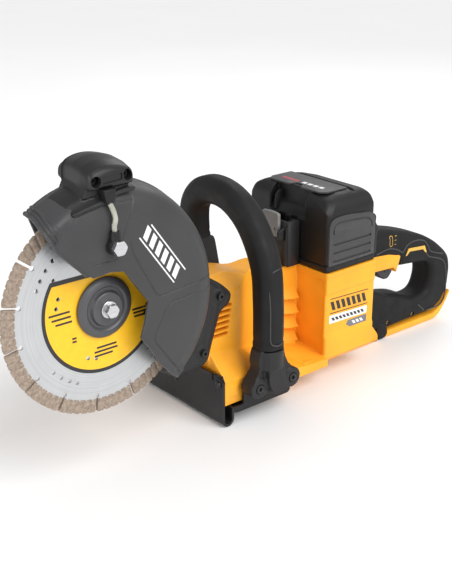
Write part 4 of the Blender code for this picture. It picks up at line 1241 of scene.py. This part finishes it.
def make_block():
    half = [(BLOCK_LEFT, BLOCK_TOP), (BLOCK_LEFT, -60.5), (BLOCK_LEFT - 0.8, -62.0),
            (BLOCK_LEFT - 0.8, -83.0),
            (BLOCK_LEFT - 2.2, -85.5), (BLOCK_LEFT - 2.2, -140.5), (BLOCK_LEFT - 0.4, -143.0),
            (BLOCK_LEFT, -147.5), (BLOCK_LEFT, -171.0), (BLOCK_LEFT - 6.0, BLOCK_BASE)]
    section = [(y, z) for y, z in half] + [(2 * CENTRE - y, z) for y, z in reversed(half)]
    block_ = prism("block", section, BLOCK_REAR, BLOCK_FRONT, YELLOW, axis="X")
    plan = [(BLOCK_FRONT, BLOCK_LEFT), (BLOCK_REAR, BLOCK_LEFT, 3.0), (BLOCK_REAR, BLOCK_RIGHT, 3.0),
            (BLOCK_FRONT, BLOCK_RIGHT)]
    cut(block_, prism("block_plan", fillet(plan, 4.0), -200.0, -40.0, YELLOW, axis="Z"),
        operation="INTERSECT")
    panel = fillet([(-27.0, -64.0), (-27.0, -190.0, 0.0), (-95.0, -190.0, 0.0), (-95.0, -64.0)], 3.0)
    cut(block_, prism("front_panel", panel, BLOCK_FRONT - 1.5, BLOCK_FRONT + 4.0, YELLOW, axis="X"))
    return block_


def make_skirt():
    rows = [(-172.5, [(-80.0, -112.0), (-46.0, -118.0), (-16.0, -146.0)]),
            (-214.0, [(-80.0, -116.0), (-46.0, -124.0), (-16.0, -150.0)]),
            (-224.0, [(-80.0, -120.0), (-46.0, -129.0), (-16.0, -152.0)]),
            (-256.0, [(-96.0, -140.0), (-60.0, -145.0), (-16.0, -160.0)]),
            (-300.0, [(-96.0, -152.0), (-60.0, -158.0), (-16.0, -166.0)]),
            (-343.5, [(-96.0, -160.0), (-60.0, -164.0), (-16.0, -168.0)])]
    foot = skirt(rows)
    rib = cord("rib", [(-306.0, -22.0, -166.0), (-336.0, -26.0, -168.5), (-337.0, -62.0, -164.5),
                       (-318.0, -60.0, -162.0)], 2.2, YELLOW)
    lines = [cord("line", [(-181.0, -15.6, z), (-194.0, -15.6, z - 0.7)], 0.6, YELLOW)
             for z in (-156.0, -159.5, -163.0, -166.5)]
    return [foot, rib] + lines


def make_housings():
    """Mould the whole yellow body once, then part it along its middle seam."""
    pieces = [make_waist(), make_block()] + make_skirt()
    pieces += [louvre(z) for z in (-93.0, -113.0, -133.0, -152.0)]
    body = merge("housing", pieces, YELLOW)
    mould(body, 1.0, 3)
    space = prism("case_space", case_outline(1.4), -58.0, -10.0, YELLOW)
    cut(body, rod("drum_space", 47.6, -200.0, -56.9, YELLOW, at=MOTOR_AT, sides=96), space)
    right = body.copy()
    right.data = body.data.copy()
    bpy.context.scene.collection.objects.link(right)
    right.name = "housing_right_piece"
    body.name = "housing_left_piece"
    for item, side in ((body, 1.0), (right, -1.0)):
        near, far = CENTRE + side * 0.15, CENTRE + side * 150.0
        keep = block("keep", (-460.0, -140.0), (min(near, far), max(near, far)), (-220.0, 40.0), YELLOW)
        cut(item, keep, operation="INTERSECT")
        smooth(item, 50.0)
    show(body, "body", "yellow_plastic", "left_housing")
    show(right, "body", "yellow_plastic", "right_housing")
    make_housing_prints()


def make_housing_prints():
    """Plain bars and bands on the block's side."""
    face = BLOCK_LEFT - 2.2
    shapes = slanted_bars((-354.0, -101.5), (-420.0, -104.0), 12.0, 7)
    shapes.append([(-352.0, -91.0), (-421.0, -94.0), (-421.0, -95.2), (-352.0, -92.2)])
    shapes.append([(-352.0, -110.6), (-421.0, -113.2), (-421.0, -114.4), (-352.0, -111.8)])
    bars = [prism("bar", shape, face - 0.2, face + 0.12, LABEL_BLACK) for shape in shapes]
    show(merge("block_plain_bars", bars, LABEL_BLACK), "body", "yellow_plastic")
    band = fillet([(-351.0, -114.0), (-420.0, -117.0), (-420.0, -127.0), (-351.0, -125.0)], 1.2)
    tag = fillet([(-385.0, -128.5), (-420.0, -129.0), (-420.0, -139.0), (-389.0, -138.6),
                  (-382.0, -133.8)], 0.8)
    show(prism("block_white_band", band, face - 0.2, face + 0.14, LABEL_WHITE), "body", "yellow_plastic")
    show(prism("block_grey_tag", tag, face - 0.2, face + 0.14, LABEL_GREY), "body", "yellow_plastic")
    dashes = [prism("dash", shape, face, face + 0.24, LABEL_BLACK)
              for shape in slanted_bars((-356.0, -119.8), (-416.0, -122.2), 4.4, 9)]
    show(merge("block_band_dashes", dashes, LABEL_BLACK), "body", "yellow_plastic")
    glints = [prism("glint", shape, face, face + 0.24, LABEL_WHITE)
              for shape in slanted_bars((-394.0, -133.6), (-415.0, -134.2), 4.6, 3)]
    show(merge("block_tag_dashes", glints, LABEL_WHITE), "body", "yellow_plastic")


# ---------------------------------------------------------------- battery and dock

def battery_shape(name, front, rear, left, right, low, top, look):
    """A block whose top edges are well rounded, more so along its sides."""
    shell = block(name, (rear, front), (right, left), (low, top), look)
    mesh = shell.data
    weights = mesh.attributes.new("bevel_weight_edge", "FLOAT", "EDGE")
    highest = max(vert.co.z for vert in mesh.vertices)
    for edge in mesh.edges:
        ends = [mesh.vertices[i].co for i in edge.vertices]
        if min(end.z for end in ends) > highest - 0.0001:
            along_y = abs(ends[0].y - ends[1].y) > 0.001
            weights.data[edge.index].value = 0.66 if along_y else 1.0
        elif abs(ends[0].z - ends[1].z) > 0.001:
            weights.data[edge.index].value = 0.22
    step = shell.modifiers.new("round_top", "BEVEL")
    step.limit_method = "WEIGHT"
    step.width = 25.0 * MM
    step.segments = 10
    return settle(shell)


def panel_outline(grow=0.0):
    g = grow
    return fillet([(-346.0 + g, -48.0 - g, 1.0), (-346.0 + g, 13.5 + g, 15.0), (-376.0, 15.0 + g, 10.0),
                   (-428.5 - g, 9.5 + g, 15.0), (-428.5 - g, -48.0 - g, 1.0)], 10.0, 8)


def make_battery():
    case = battery_shape("battery_case_piece", BATTERY_FRONT, BATTERY_REAR, BATTERY_LEFT - 0.2,
                         BATTERY_RIGHT + 0.2, -48.0, BATTERY_TOP, BLACK)
    recess = prism("recess", fillet([(-330.0, 60.0), (-330.0, 4.0), (-348.0, 4.0), (-351.0, 15.0),
                                     (-358.0, 19.0), (-360.0, 60.0)], 2.0), -130.0, -67.0, BLACK)
    slot = prism("slot", fillet([(-399.5, 60.0), (-399.5, 35.6), (-404.5, 35.6), (-404.5, 60.0)], 0.5),
                 -158.0, -38.0, BLACK)
    rails = [prism("groove", [(-340.0, y0), (-347.5, y0), (-347.5, y1), (-340.0, y1)], -60.0, 6.0, BLACK,
                   axis="Z") for y0, y1 in ((-94.0, -80.0), (-116.0, -102.0))]
    notch = [(-385.0, 60.0), (-385.0, 36.4), (-387.0, 36.4), (-387.0, 60.0)]
    thin = prism("thin", notch, -150.0, -46.0, BLACK)
    cut(case, recess, slot, thin, *rails)
    mould(case, 1.0, 3)
    show(case, "battery", "black_plastic", "battery_case")

    finger = prism("finger_rib", fillet([(-346.5, 5.0), (-346.5, 24.0), (-352.0, 30.0), (-359.0, 30.0),
                                         (-359.0, 17.0), (-349.0, 5.0)], 2.0), -124.0, -121.0, BLACK)
    show(soften(finger, 0.8, 2), "battery", "black_plastic")
    base = plate("base", fillet([(BATTERY_FRONT + 1.4, BATTERY_LEFT + 2.0), (BATTERY_REAR - 1.8,
                                 BATTERY_LEFT + 2.0), (BATTERY_REAR - 1.8, BATTERY_RIGHT - 2.0),
                                 (BATTERY_FRONT + 1.4, BATTERY_RIGHT - 2.0)], 4.0), -55.5, -47.6, BLACK,
                                 1.6, "Z")
    half = [(BATTERY_FRONT - 3.0, CENTRE + 12.0), (-338.0, CENTRE + 12.0), (-338.0, CENTRE + 17.0),
            (-329.0, CENTRE + 17.0)]
    rail = prism("rail", mirrored(half, CENTRE), -55.5, -9.0, BLACK, axis="Z")
    show(soften(merge("battery_base_piece", [base, rail], BLACK), 0.5, 2), "battery", "black_plastic",
         "battery_base")

    plan = mirrored([(-365.0, CENTRE + 6.0), (-355.0, CENTRE + 11.0), (-355.0, CENTRE + 44.0),
                     (-363.0, CENTRE + 51.0), (-398.0, CENTRE + 51.0)], CENTRE)
    top = plate("battery_top_piece", fillet(plan, 1.5), 38.4, 40.6, PLATE_GREY, 0.5, "Z")
    show(top, "battery", "latch_grey", "battery_top_plate")
    marks = [prism("mark", [(-368.0, y), (-374.0, y), (-374.0, y - 7.0), (-368.0, y - 7.0)], 40.4, 40.75,
                   LABEL_WHITE, axis="Z") for y in (-62.0, -72.0, -82.0, -92.0)]
    show(merge("battery_top_marks", marks, LABEL_WHITE), "battery", "latch_grey")
    band = prism("battery_top_band", [(-368.0, -106.0), (-374.0, -106.0), (-374.0, -136.0), (-368.0, -136.0)],
                 40.4, 40.75, RED, axis="Z")
    show(band, "battery", "latch_grey")
    for side, name in ((1.0, "battery_panel_left"), (-1.0, "battery_panel_right")):
        make_side_panel(name, side)


RED = print_ink("accent_red", (0.34, 0.03, 0.045), 0.4)


def make_side_panel(name, side):
    """The lighter side panel with its arch and its three long grooves."""
    face = CENTRE + side * (BATTERY_LEFT + 2.0 - CENTRE)
    back = CENTRE + side * (BATTERY_LEFT - 1.5 - CENTRE)
    panel = plate(name + "_piece", panel_outline(-0.3), min(face, back), max(face, back), GREY, 0.9)
    floor = face - side * 1.3
    out = face + side * 4.0
    low, high = min(floor, out), max(floor, out)
    arch = [Vector(p) for p in ((-353.5, -7.0), (-353.5, 1.0), (-361.0, 6.4), (-386.0, 6.0), (-411.0, 3.6),
                                (-420.5, -3.0), (-421.0, -9.0))]
    line = spline_through([(p.x, face, p.y) for p in arch], 8)
    cutters = [cord("groove", line, 1.35, GREY)]
    for z in (-20.0, -31.0, -42.0):
        shape = fillet([(-353.5, z + 1.4), (-421.0, z + 1.4), (-421.0, z - 1.4), (-353.5, z - 1.4)], 1.3)
        cutters.append(prism("groove", shape, low, high, GREY))
    cut(panel, *cutters)
    show(smooth(panel, 35.0), "battery", "grey_plastic", name)


def make_dock():
    half = [(-323.0, CENTRE + 25.0), (-342.2, CENTRE + 25.0), (-342.2, CENTRE + 12.6),
            (-338.6, CENTRE + 12.6),
            (-338.6, CENTRE + 17.6), (-328.4, CENTRE + 17.6)]
    dock = prism("tower", mirrored(half, CENTRE), BLOCK_TOP + 0.3, 2.0, CHARCOAL, axis="Z")
    pieces = [dock]
    for side in (-1.0, 1.0):
        near = CENTRE + side * 16.0
        ear = fillet([(-326.0, -22.0), (-326.0, -3.0), (-311.5, -8.0), (-311.5, -19.0)], 3.5)
        pieces.append(plate("ear", ear, min(near, near + side * 4.4), max(near, near + side * 4.4),
                            CHARCOAL, 0.8))
        edge = CENTRE + side * 23.0
        rib = fillet([(-324.0, -54.0), (-324.0, -1.0), (-320.0, -6.0), (-319.0, -54.0)], 2.0)
        pieces.append(plate("dock_rib", rib, edge - 1.6, edge + 1.6, CHARCOAL, 0.6))
    dock = soften(merge("battery_dock_piece", pieces, CHARCOAL), 0.7, 2)
    axle = rod("latch_axle_piece", 2.0, CENTRE - 19.0, CENTRE + 19.0, ZINC, at=LATCH_PIVOT)
    show(dock, "body", "black_plastic", "battery_dock")
    show(smooth(axle), "body", "steel")
    make_latch()


def make_latch():
    x = LATCH_PIVOT[0]
    shield = fillet([(-113.0, 13.5, 3.0), (-98.0, 15.0, 8.0), (-83.0, 13.5, 3.0), (-82.6, -3.0, 4.0),
                     (-88.0, -13.0, 3.0), (-98.0, -21.0, 3.0), (-108.0, -13.0, 3.0), (-113.4, -3.0, 4.0)],
                     3.0)
    front = plate("front", shield, x - 1.0, x + 4.2, LATCH_GREY, 1.5, "X")
    barrel = rod("barrel", 4.2, CENTRE - 14.6, CENTRE + 14.6, LATCH_GREY, at=LATCH_PIVOT)
    back = plate("back", fillet([(-110.0, 12.0), (-86.0, 12.0), (-86.0, -10.0), (-110.0, -10.0)], 2.0),
                 x - 3.8, x + 2.0, LATCH_GREY, 1.0, "X")
    latch = merge("battery_latch_piece", [front, barrel, back], LATCH_GREY)
    mould(latch, 0.8, 4)
    cut(latch, rod("axle_space", 2.3, CENTRE - 20.0, CENTRE + 20.0, LATCH_GREY, at=LATCH_PIVOT),
        rod("pin_hole", 1.7, x + 2.4, x + 8.0, LATCH_GREY, axis="X", at=(-88.5, -6.5)))
    show(smooth(latch, 50.0), "latch", "latch_grey", "battery_latch")


# ---------------------------------------------------------------- rear handle

def grip_outer():
    return [(-452.5, -42.0, 4.0), (-452.5, -58.0, 0.0), (-432.3, -58.0, 0.0), (-432.3, -177.0, 0.0),
            (-462.0, -196.0), (-473.0, -201.5), (-485.0, -201.5, 1.0), (-490.0, -191.0, 0.0),
            (-612.0, -190.0, 4.0), (-630.0, -181.0, 8.0), (-644.0, -162.0, 12.0), (-646.2, -128.0, 14.0),
            (-642.0, -111.0, 10.0), (-634.0, -101.5, 12.0), (-612.0, -83.5, 14.0), (-583.0, -67.5, 14.0),
            (-546.0, -54.0, 16.0), (-512.0, -45.0, 16.0), (-490.0, -40.0, 14.0)]


def grip_opening():
    return [(-436.0, -90.0, 0.0), (-436.0, -116.0, 4.0), (-470.0, -122.0, 10.0), (-499.0, -134.0, 10.0),
            (-512.0, -140.0, 6.0), (-541.0, -146.0, 12.0), (-568.0, -159.0, 9.0), (-594.0, -156.0, 14.0),
            (-602.0, -134.0, 14.0), (-597.0, -111.0, 12.0), (-562.0, -106.0, 12.0), (-532.0, -103.0, 8.0),
            (-524.0, -90.0, 0.0)]


def make_rear_handle():
    shape = plate("handle", [fillet(grip_outer(), 5.0), fillet(grip_opening(), 6.0)], REAR_MID - 21.0,
                  REAR_MID + 21.0, RUBBER, 11.0, steps=7)
    hump = plate("hump", fillet([(-436.0, -120.0), (-470.0, -124.0), (-499.0, -136.0), (-513.0, -142.0),
                                 (-532.0, -147.0), (-552.0, -156.0), (-575.0, -172.0), (-586.0, -186.0),
                                 (-500.0, -188.0), (-436.0, -174.0)], 6.0), REAR_MID - 21.0, REAR_MID + 21.0,
                 RUBBER, 3.0)
    body = merge("handle_body", [shape, hump], RUBBER)
    mould(body, 1.1, 4)
    pocket = block("pocket", (-538.0, -450.0), (REAR_MID - 9.6, REAR_MID + 9.6), (-110.0, -60.0), RUBBER)
    seats = [rod("seat", 3.4, REAR_MID + 16.0, REAR_MID + 30.0, RUBBER, at=spot) for spot in HANDLE_SCREWS]
    cut(body, pocket, *seats)
    other = body.copy()
    other.data = body.data.copy()
    bpy.context.scene.collection.objects.link(other)
    for item, name, side in ((body, "rear_handle_left", 1.0), (other, "rear_handle_right", -1.0)):
        near, far = REAR_MID + side * 0.1, REAR_MID + side * 60.0
        cut(item, block("keep", (-700.0, -400.0), (min(near, far), max(near, far)), (-220.0, 0.0), RUBBER),
            operation="INTERSECT")
        item.name = name + "_piece"
        show(smooth(item, 50.0), "body", "grip_rubber", name)
    make_handle_details()


HANDLE_SCREWS = ((-512.0, -181.0), (-564.0, -181.5))
CONTOURS = (
    [(-534.0, -82.0), (-544.0, -72.5), (-561.0, -70.0), (-578.0, -74.0), (-588.0, -84.0), (-596.0, -94.0),
     (-622.0, -103.0)],
    [(-584.0, -93.0), (-593.0, -101.0), (-618.0, -110.0), (-629.0, -120.0), (-634.0, -140.0),
     (-635.0, -166.0),
     (-626.0, -182.0), (-594.0, -184.0)],
    [(-480.0, -73.0), (-503.0, -70.0), (-520.0, -74.0), (-534.0, -82.0)],
    [(-575.0, -170.0), (-589.0, -182.0)],
)


def make_handle_details():
    beads = []
    for side in (1.0, -1.0):
        y = REAR_MID + side * 20.7
        for line in CONTOURS:
            path = spline_through([(x, y, z) for x, z in line], 6)
            beads.append(cord("bead", path, 1.0, SEAM))
    show(merge("handle_contour_beads", beads, SEAM), "body", "grip_rubber")
    smooth(bpy.data.objects["handle_contour_beads"], 60.0)
    for i, spot in enumerate(HANDLE_SCREWS):
        show(socket_screw("handle_screw_%d" % (i + 1), spot, REAR_MID + 15.9, 3.0, BRASS, 6.0), "body",
             "steel")

    bezels = []
    for side in (1.0, -1.0):
        y = REAR_MID + side * 20.6
        outer = [(-540.5, -88.5), (-546.0, -78.5), (-580.5, -81.5), (-586.0, -93.0)]
        inner = [(-582.5, -92.0), (-577.5, -86.5), (-549.0, -83.5), (-543.0, -88.5)]
        bezels.append(plate("bezel", fillet(outer + inner, 0.6), min(y, y + side * 0.9),
                            max(y, y + side * 0.9),
                            GOLD, 0.3))
    show(merge("handle_bezels", bezels, GOLD), "body", "yellow_plastic")
    smooth(bpy.data.objects["handle_bezels"])
    loop = [(-506.0, -52.0), (-509.5, -53.0), (-511.0, -57.0), (-511.5, -65.5), (-509.0, -67.5),
            (-506.5, -65.5),
            (-506.0, -57.0), (-504.5, -54.0)]
    path = spline_through([(x, REAR_MID + 20.7, z) for x, z in loop], 5, closed=True)
    marks = [cord("mark", path, 0.5, GOLD, closed=True)]
    for z in (-54.0, -60.0, -66.0):
        marks.append(cord("mark", [(-515.5, REAR_MID + 20.7, z), (-519.0, REAR_MID + 20.7, z)], 0.45, GOLD))
    show(merge("handle_plain_mark", marks, GOLD), "body", "yellow_plastic")

    cheek = fillet([(-434.0, -77.5), (-434.0, -97.0), (-470.0, -97.5), (-517.0, -100.0, 3.0),
                    (-522.0, -108.0, 2.0),
                    (-526.5, -98.0, 4.0), (-530.5, -85.0, 3.0), (-506.0, -77.8, 6.0),
                    (-478.0, -75.0, 4.0)], 1.5)
    saddle = plate("handle_cheek_piece", cheek, REAR_MID - 21.6, REAR_MID + 21.6, YELLOW, 1.8)
    slot = block("slot", (-540.0, -449.0), (REAR_MID - 9.6, REAR_MID + 9.6), (-115.0, -66.0), YELLOW)
    show(smooth(cut(saddle, slot), 35.0), "body", "yellow_plastic", "handle_cheek")

    trim = fillet([(-509.0, -193.6, 0.0), (-612.0, -193.6, 4.0), (-631.5, -184.5, 8.0), (-645.8, -164.0, 2.0),
                   (-646.4, -168.0, 2.0), (-640.0, -180.0, 8.0), (-627.0, -196.5, 8.0), (-615.0, -202.4, 6.0),
                   (-509.0, GROUND, 0.0)], 1.5)
    show(plate("handle_trim_piece", trim, REAR_MID - 20.6, REAR_MID + 20.6, YELLOW, 1.4), "body",
         "yellow_plastic",
         "handle_trim")
    tail = fillet([(-431.0, -164.0, 0.0), (-470.0, -172.0), (-480.0, -177.5), (-492.0, -193.0),
                   (-492.0, GROUND, 0.5),
                   (-474.0, -202.2), (-462.0, -196.8), (-431.0, -178.0, 0.0)], 4.0)
    show(plate("handle_root", tail, REAR_MID - 21.7, REAR_MID + 21.7, YELLOW, 1.6), "body", "yellow_plastic")
    drop = fillet([(-489.0, -176.0), (-509.0, -179.0), (-512.5, -198.0), (-505.0, GROUND, 6.0),
                   (-493.0, GROUND, 4.0),
                   (-489.0, -190.0)], 4.0)
    show(plate("handle_drop", drop, REAR_MID - 22.1, REAR_MID + 22.1, SOFT, 2.4), "body", "grip_rubber")
    make_bracket()
    make_trigger()


def make_bracket():
    wall = fillet([(-431.8, -57.4), (-431.8, -6.0), (-438.0, 1.0), (-445.0, -5.0), (-452.0, -20.0),
                   (-452.0, -57.4)], 3.5)
    core = prism("core", wall, CENTRE - 57.0, CENTRE + 57.0, CHARCOAL)
    bumps = []
    for z, x in ((-8.0, -441.0), (-24.0, -446.0)):
        bump = ring_points((x, z), 7.5, 28)
        bumps.append(prism("bump", bump, CENTRE - 57.9, CENTRE + 57.9, CHARCOAL))
    piece = mould(merge("handle_bracket_piece", [core] + bumps, CHARCOAL), 1.2, 4)
    show(piece, "body", "black_plastic", "handle_bracket")


def make_trigger():
    lever = fillet([(-490.0, -77.2, 1.0), (-489.5, -94.0), (-500.0, -111.0), (-513.0, -120.5),
                    (-522.0, -121.0),
                    (-530.0, -112.0), (-530.5, -104.0), (-531.0, -77.4, 1.0)], 4.0)
    trigger = plate("trigger_piece", lever, REAR_MID - 8.0, REAR_MID + 8.0, GREY, 2.2)
    dimple = rod("dimple", 1.5, REAR_MID + 7.2, REAR_MID + 12.0, GREY, at=(-513.0, -108.0))
    show(smooth(cut(trigger, dimple), 38.0), "trigger", "grey_plastic", "trigger")
    lock = fillet([(-473.0, -78.0, 1.0), (-474.0, -96.0), (-481.0, -116.0), (-489.0, -119.0),
                   (-493.0, -113.0),
                   (-488.0, -97.0), (-486.0, -78.0, 1.0)], 3.5)
    show(plate("lock_lever_piece", lock, REAR_MID - 8.0, REAR_MID + 8.0, SATIN, 2.0), "lock_lever",
         "black_plastic", "lock_lever")


# ---------------------------------------------------------------- skid and front handle

def make_skid():
    thick = 3.0
    near, far = -10.5, -165.0
    outer = [(-165.0, -136.5), (-165.0, -192.0)] + arc((-173.5, -194.0), 8.5, -10, -170, 28)
    outer += [(-182.0, -180.0)]
    inner = [(-182.0 + thick, -180.0)] + arc((-173.5, -194.0), 8.5 - thick, -170, -10, 28)
    inner += [(-165.0 - thick, -192.0), (-165.0 - thick, -136.5)]
    sheet = prism("skid_plate_piece", outer + inner, far, near, COATED)
    # The top edge: an ear round the screw, a relief slot, then a straight run to the far side
    keep = fillet([(near + 0.4, -215.0, 0.0), (near + 0.4, -146.0, 5.0), (-15.0, -134.0, 6.0),
                   (-24.0, -133.0, 5.0),
                   (-27.6, -139.0, 0.4), (-28.0, -146.0, 0.4), (-30.0, -146.0, 0.4), (-30.5, -138.5, 0.6),
                   (far - 1.0, -137.5, 0.0), (far - 1.0, -215.0, 0.0)], 3.0)
    cut(sheet, prism("keep", keep, -190.0, -160.0, COATED, axis="X"), operation="INTERSECT")
    flange = fillet([(-181.0, -186.0), (-181.0, -180.5), (-197.0, -180.5), (-197.0, -150.0), (-272.0, -150.0),
                     (-272.0, -186.0, 4.0), (-268.0, -188.5), (-186.0, -188.5)], 2.0)
    side = prism("flange", flange, -13.5, near, COATED)
    shelf = prism("shelf", [(near, -188.5), (near, -185.5), (-160.0, -185.5), (-160.0, -188.5)], -268.0,
                  -192.0,
                  COATED, axis="X")
    bores = [rod("bore", 3.0, -170.0, -160.0, COATED, axis="X", at=(-18.5, -148.0))]
    cut(sheet, side, shelf, operation="UNION")
    cut(sheet, *bores)
    for spot in FOOT_SCREWS.values():
        cut(sheet, rod("bore", 3.0, -16.0, -8.0, COATED, at=spot))
    show(soften(sheet, 0.6, 2, 45.0), "body", "black_steel", "skid_plate")
    profile = [(0.0, -162.4), (2.6, -162.2), (4.3, -163.2), (4.6, -164.6), (2.5, -164.8), (2.5, -173.0),
               (0.0, -173.0)]
    show(lathe("skid_screw_piece", profile, BURNT, (-18.5, -148.0), 40, "X"), "body", "steel", "skid_screw")
    for i, spot in enumerate(((-82.0, -151.0), (-100.0, -171.0))):
        profile = [(0.0, -163.6), (2.2, -163.8), (2.8, -164.8), (0.0, -164.9)]
        show(lathe("skid_rivet_%d" % (i + 1), profile, BURNT, spot, 24, "X"), "body", "steel")


FOOT_SCREWS = {"foot_screw_front": (-204.0, -155.5), "foot_screw_rear": (-256.0, -156.0)}


def loop_path():
    route = [(0, -124), (0, -109), (-1, -54), (-7, -9), (-32, 33), (-68, 56), (-108, 57),
             (-133, 36), (-135, -2), (-127, -41), (-124, -84)]
    return spline_through([(HANDLE_PLANE, y, z) for y, z in route], 10)


def sleeve_section(t):
    """A soft rounded section with flattened outer panels and a ring at each end."""
    size = 18.0
    for place, width, rise in ((0.008, 0.012, 0.7), (0.03, 0.006, -0.7), (0.992, 0.012, 0.7),
                               (0.97, 0.006, -0.7)):
        size += rise * max(0.0, 1.0 - abs(t - place) / width)
    notch = max(0.0, 1.0 - abs(t - 0.268) / 0.004)
    loop = []
    for k in range(48):
        turn = 2 * math.pi * k / 48
        c, s = math.cos(turn), math.sin(turn)
        swell = (abs(c) ** 3.2 + abs(s) ** 3.2) ** (-1 / 3.2)
        radius = size * min(1.0, swell / 1.06)
        radius -= 0.8 * notch
        loop.append((radius * c, radius * s))
    return loop


def make_front_handle():
    path = loop_path()
    tube = cord("handle_tube_piece", path, 11.5, COATED, sides=8)
    show(tube, "body", "handle_tube_metal", "handle_tube")
    fine = path[10:83]
    sleeve = sweep("handle_grip_piece", fine, sleeve_section, SOFT)
    show(smooth(sleeve, 45.0), "body", "grip_rubber", "handle_grip")
    make_sleeve_details()

    spots = list(FOOT_SCREWS.values())
    body = [prism("shin", fillet([(-208.0, -108.0), (-204.0, -122.0), (-206.0, -134.0), (-196.0, -146.0),
                                  (-197.0, -167.0), (-257.0, -169.0), (-265.0, -152.0), (-253.0, -140.0),
                                  (-246.0, -126.0), (-242.0, -108.0)], 4.0), -10.0, 8.0, CHARCOAL)]
    body += [rod("lobe", 12.5, -10.0, 10.5, CHARCOAL, at=spot, sides=48) for spot in spots]
    body.append(rod("collar", 18.8, -134.0, -111.0, CHARCOAL, axis="Z", at=(HANDLE_PLANE, 0.0), sides=64))
    body.append(prism("panel", fillet([(-213.0, -115.0), (-235.0, -117.0), (-244.0, -166.0), (-222.0, -166.0),
                                       (-214.0, -150.0)], 2.0), 0.0, 16.0, CHARCOAL))
    foot = mould(merge("handle_foot_piece", body, CHARCOAL), 1.0, 4)
    cutters = [rod("seat", 6.2, 7.6, 24.0, CHARCOAL, at=spot, sides=40) for spot in spots]
    cutters.append(rod("bore", 12.0, -124.4, -100.0, CHARCOAL, axis="Z", at=(HANDLE_PLANE, 0.0), sides=48))
    cutters.append(block("back", (-300.0, -150.0), (-30.0, -10.2), (-200.0, -136.0), CHARCOAL))
    show(smooth(cut(foot, *cutters), 45.0), "body", "black_plastic", "handle_foot")
    for name, spot in FOOT_SCREWS.items():
        show(socket_screw(name + "_piece", spot, 7.7, 5.4, BURNT, 20.0), "body", "steel", name)

    mount = fillet([(-209.0, -6.0), (-206.0, -92.0), (-213.0, -104.0), (-237.0, -104.0), (-244.0, -92.0),
                    (-241.0, -6.0)], 5.0)
    arm = prism("arm", mount, -150.0, WAIST_RIGHT - 0.6, CHARCOAL)
    taper = [(-119.0, 1.0), (-104.0, 1.0), (-104.0, -60.0)]
    cut(arm, prism("taper", taper, -255.0, -205.0, CHARCOAL, axis="X"))
    arm.name = "handle_mount_right_piece"
    mould(arm, 1.2, 4)
    cut(arm, cord("bore", path[62:], 12.0, CHARCOAL, sides=8))
    show(smooth(arm, 45.0), "body", "black_plastic", "handle_mount_right")


def make_sleeve_details():
    """Raised seam lines of the sleeve's near panel."""
    def on_leg(z, lean):
        """A point on the near leg's skin at a height, leaning forward or back."""
        y = lerp_table([(-111.0, 0.0), (-54.0, -1.0), (-9.0, -7.0), (33.0, -32.0)], z)
        turn = math.radians(lean)
        return (HANDLE_PLANE + 18.3 * math.sin(turn), y + 18.3 * math.cos(turn), z)
    outline = [on_leg(z, 34) for z in (-96, -80, -60, -40, -24)]
    outline += [on_leg(-17, 26), on_leg(-13, 8), on_leg(-12, -20), on_leg(-12, -44)]
    bead = cord("sleeve_seam", spline_through(outline, 6), 0.8, SEAM)
    lower = [on_leg(-96, 34), on_leg(-101, 26), on_leg(-103, 0), on_leg(-103, -40)]
    bead2 = cord("seam2", spline_through(lower, 6), 0.8, SEAM)
    show(merge("handle_sleeve_seams", [bead, bead2], SEAM), "body", "grip_rubber")
    smooth(bpy.data.objects["handle_sleeve_seams"], 60.0)


# ---------------------------------------------------------------- pieces kept from the CAD

KEPT = {
    "spindle": STEEL, "spindle_gear": ZINC, "idler_gear": ZINC, "rotor_shaft": STEEL, "rotor_core": CAST,
    "stator": COPPER, "motor_bearing_front": STEEL, "motor_bearing_rear": STEEL,
    "spindle_bearing_front": STEEL, "spindle_bearing_rear": STEEL, "cooling_fan": BLACK,
    "controller": CIRCUIT, "cell_pack": CIRCUIT, "switch_module": BLACK, "trigger_spring": STEEL,
}


def finish_kept_nodes():
    for name, material in KEPT.items():
        item = frame["nodes"][name]
        item.data.materials.clear()
        item.data.materials.append(material)


def write_sizes():
    for key, bounds in (("cad", CAD_BOX), ("visual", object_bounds())):
        [[float(v) for v in corner] for corner in bounds]


make_stage()
make_blade()
make_guard()
make_gear_case()
make_motor_housing()
make_housings()
make_battery()
make_dock()
make_rear_handle()
make_skid()
make_front_handle()
finish_kept_nodes()
write_sizes()
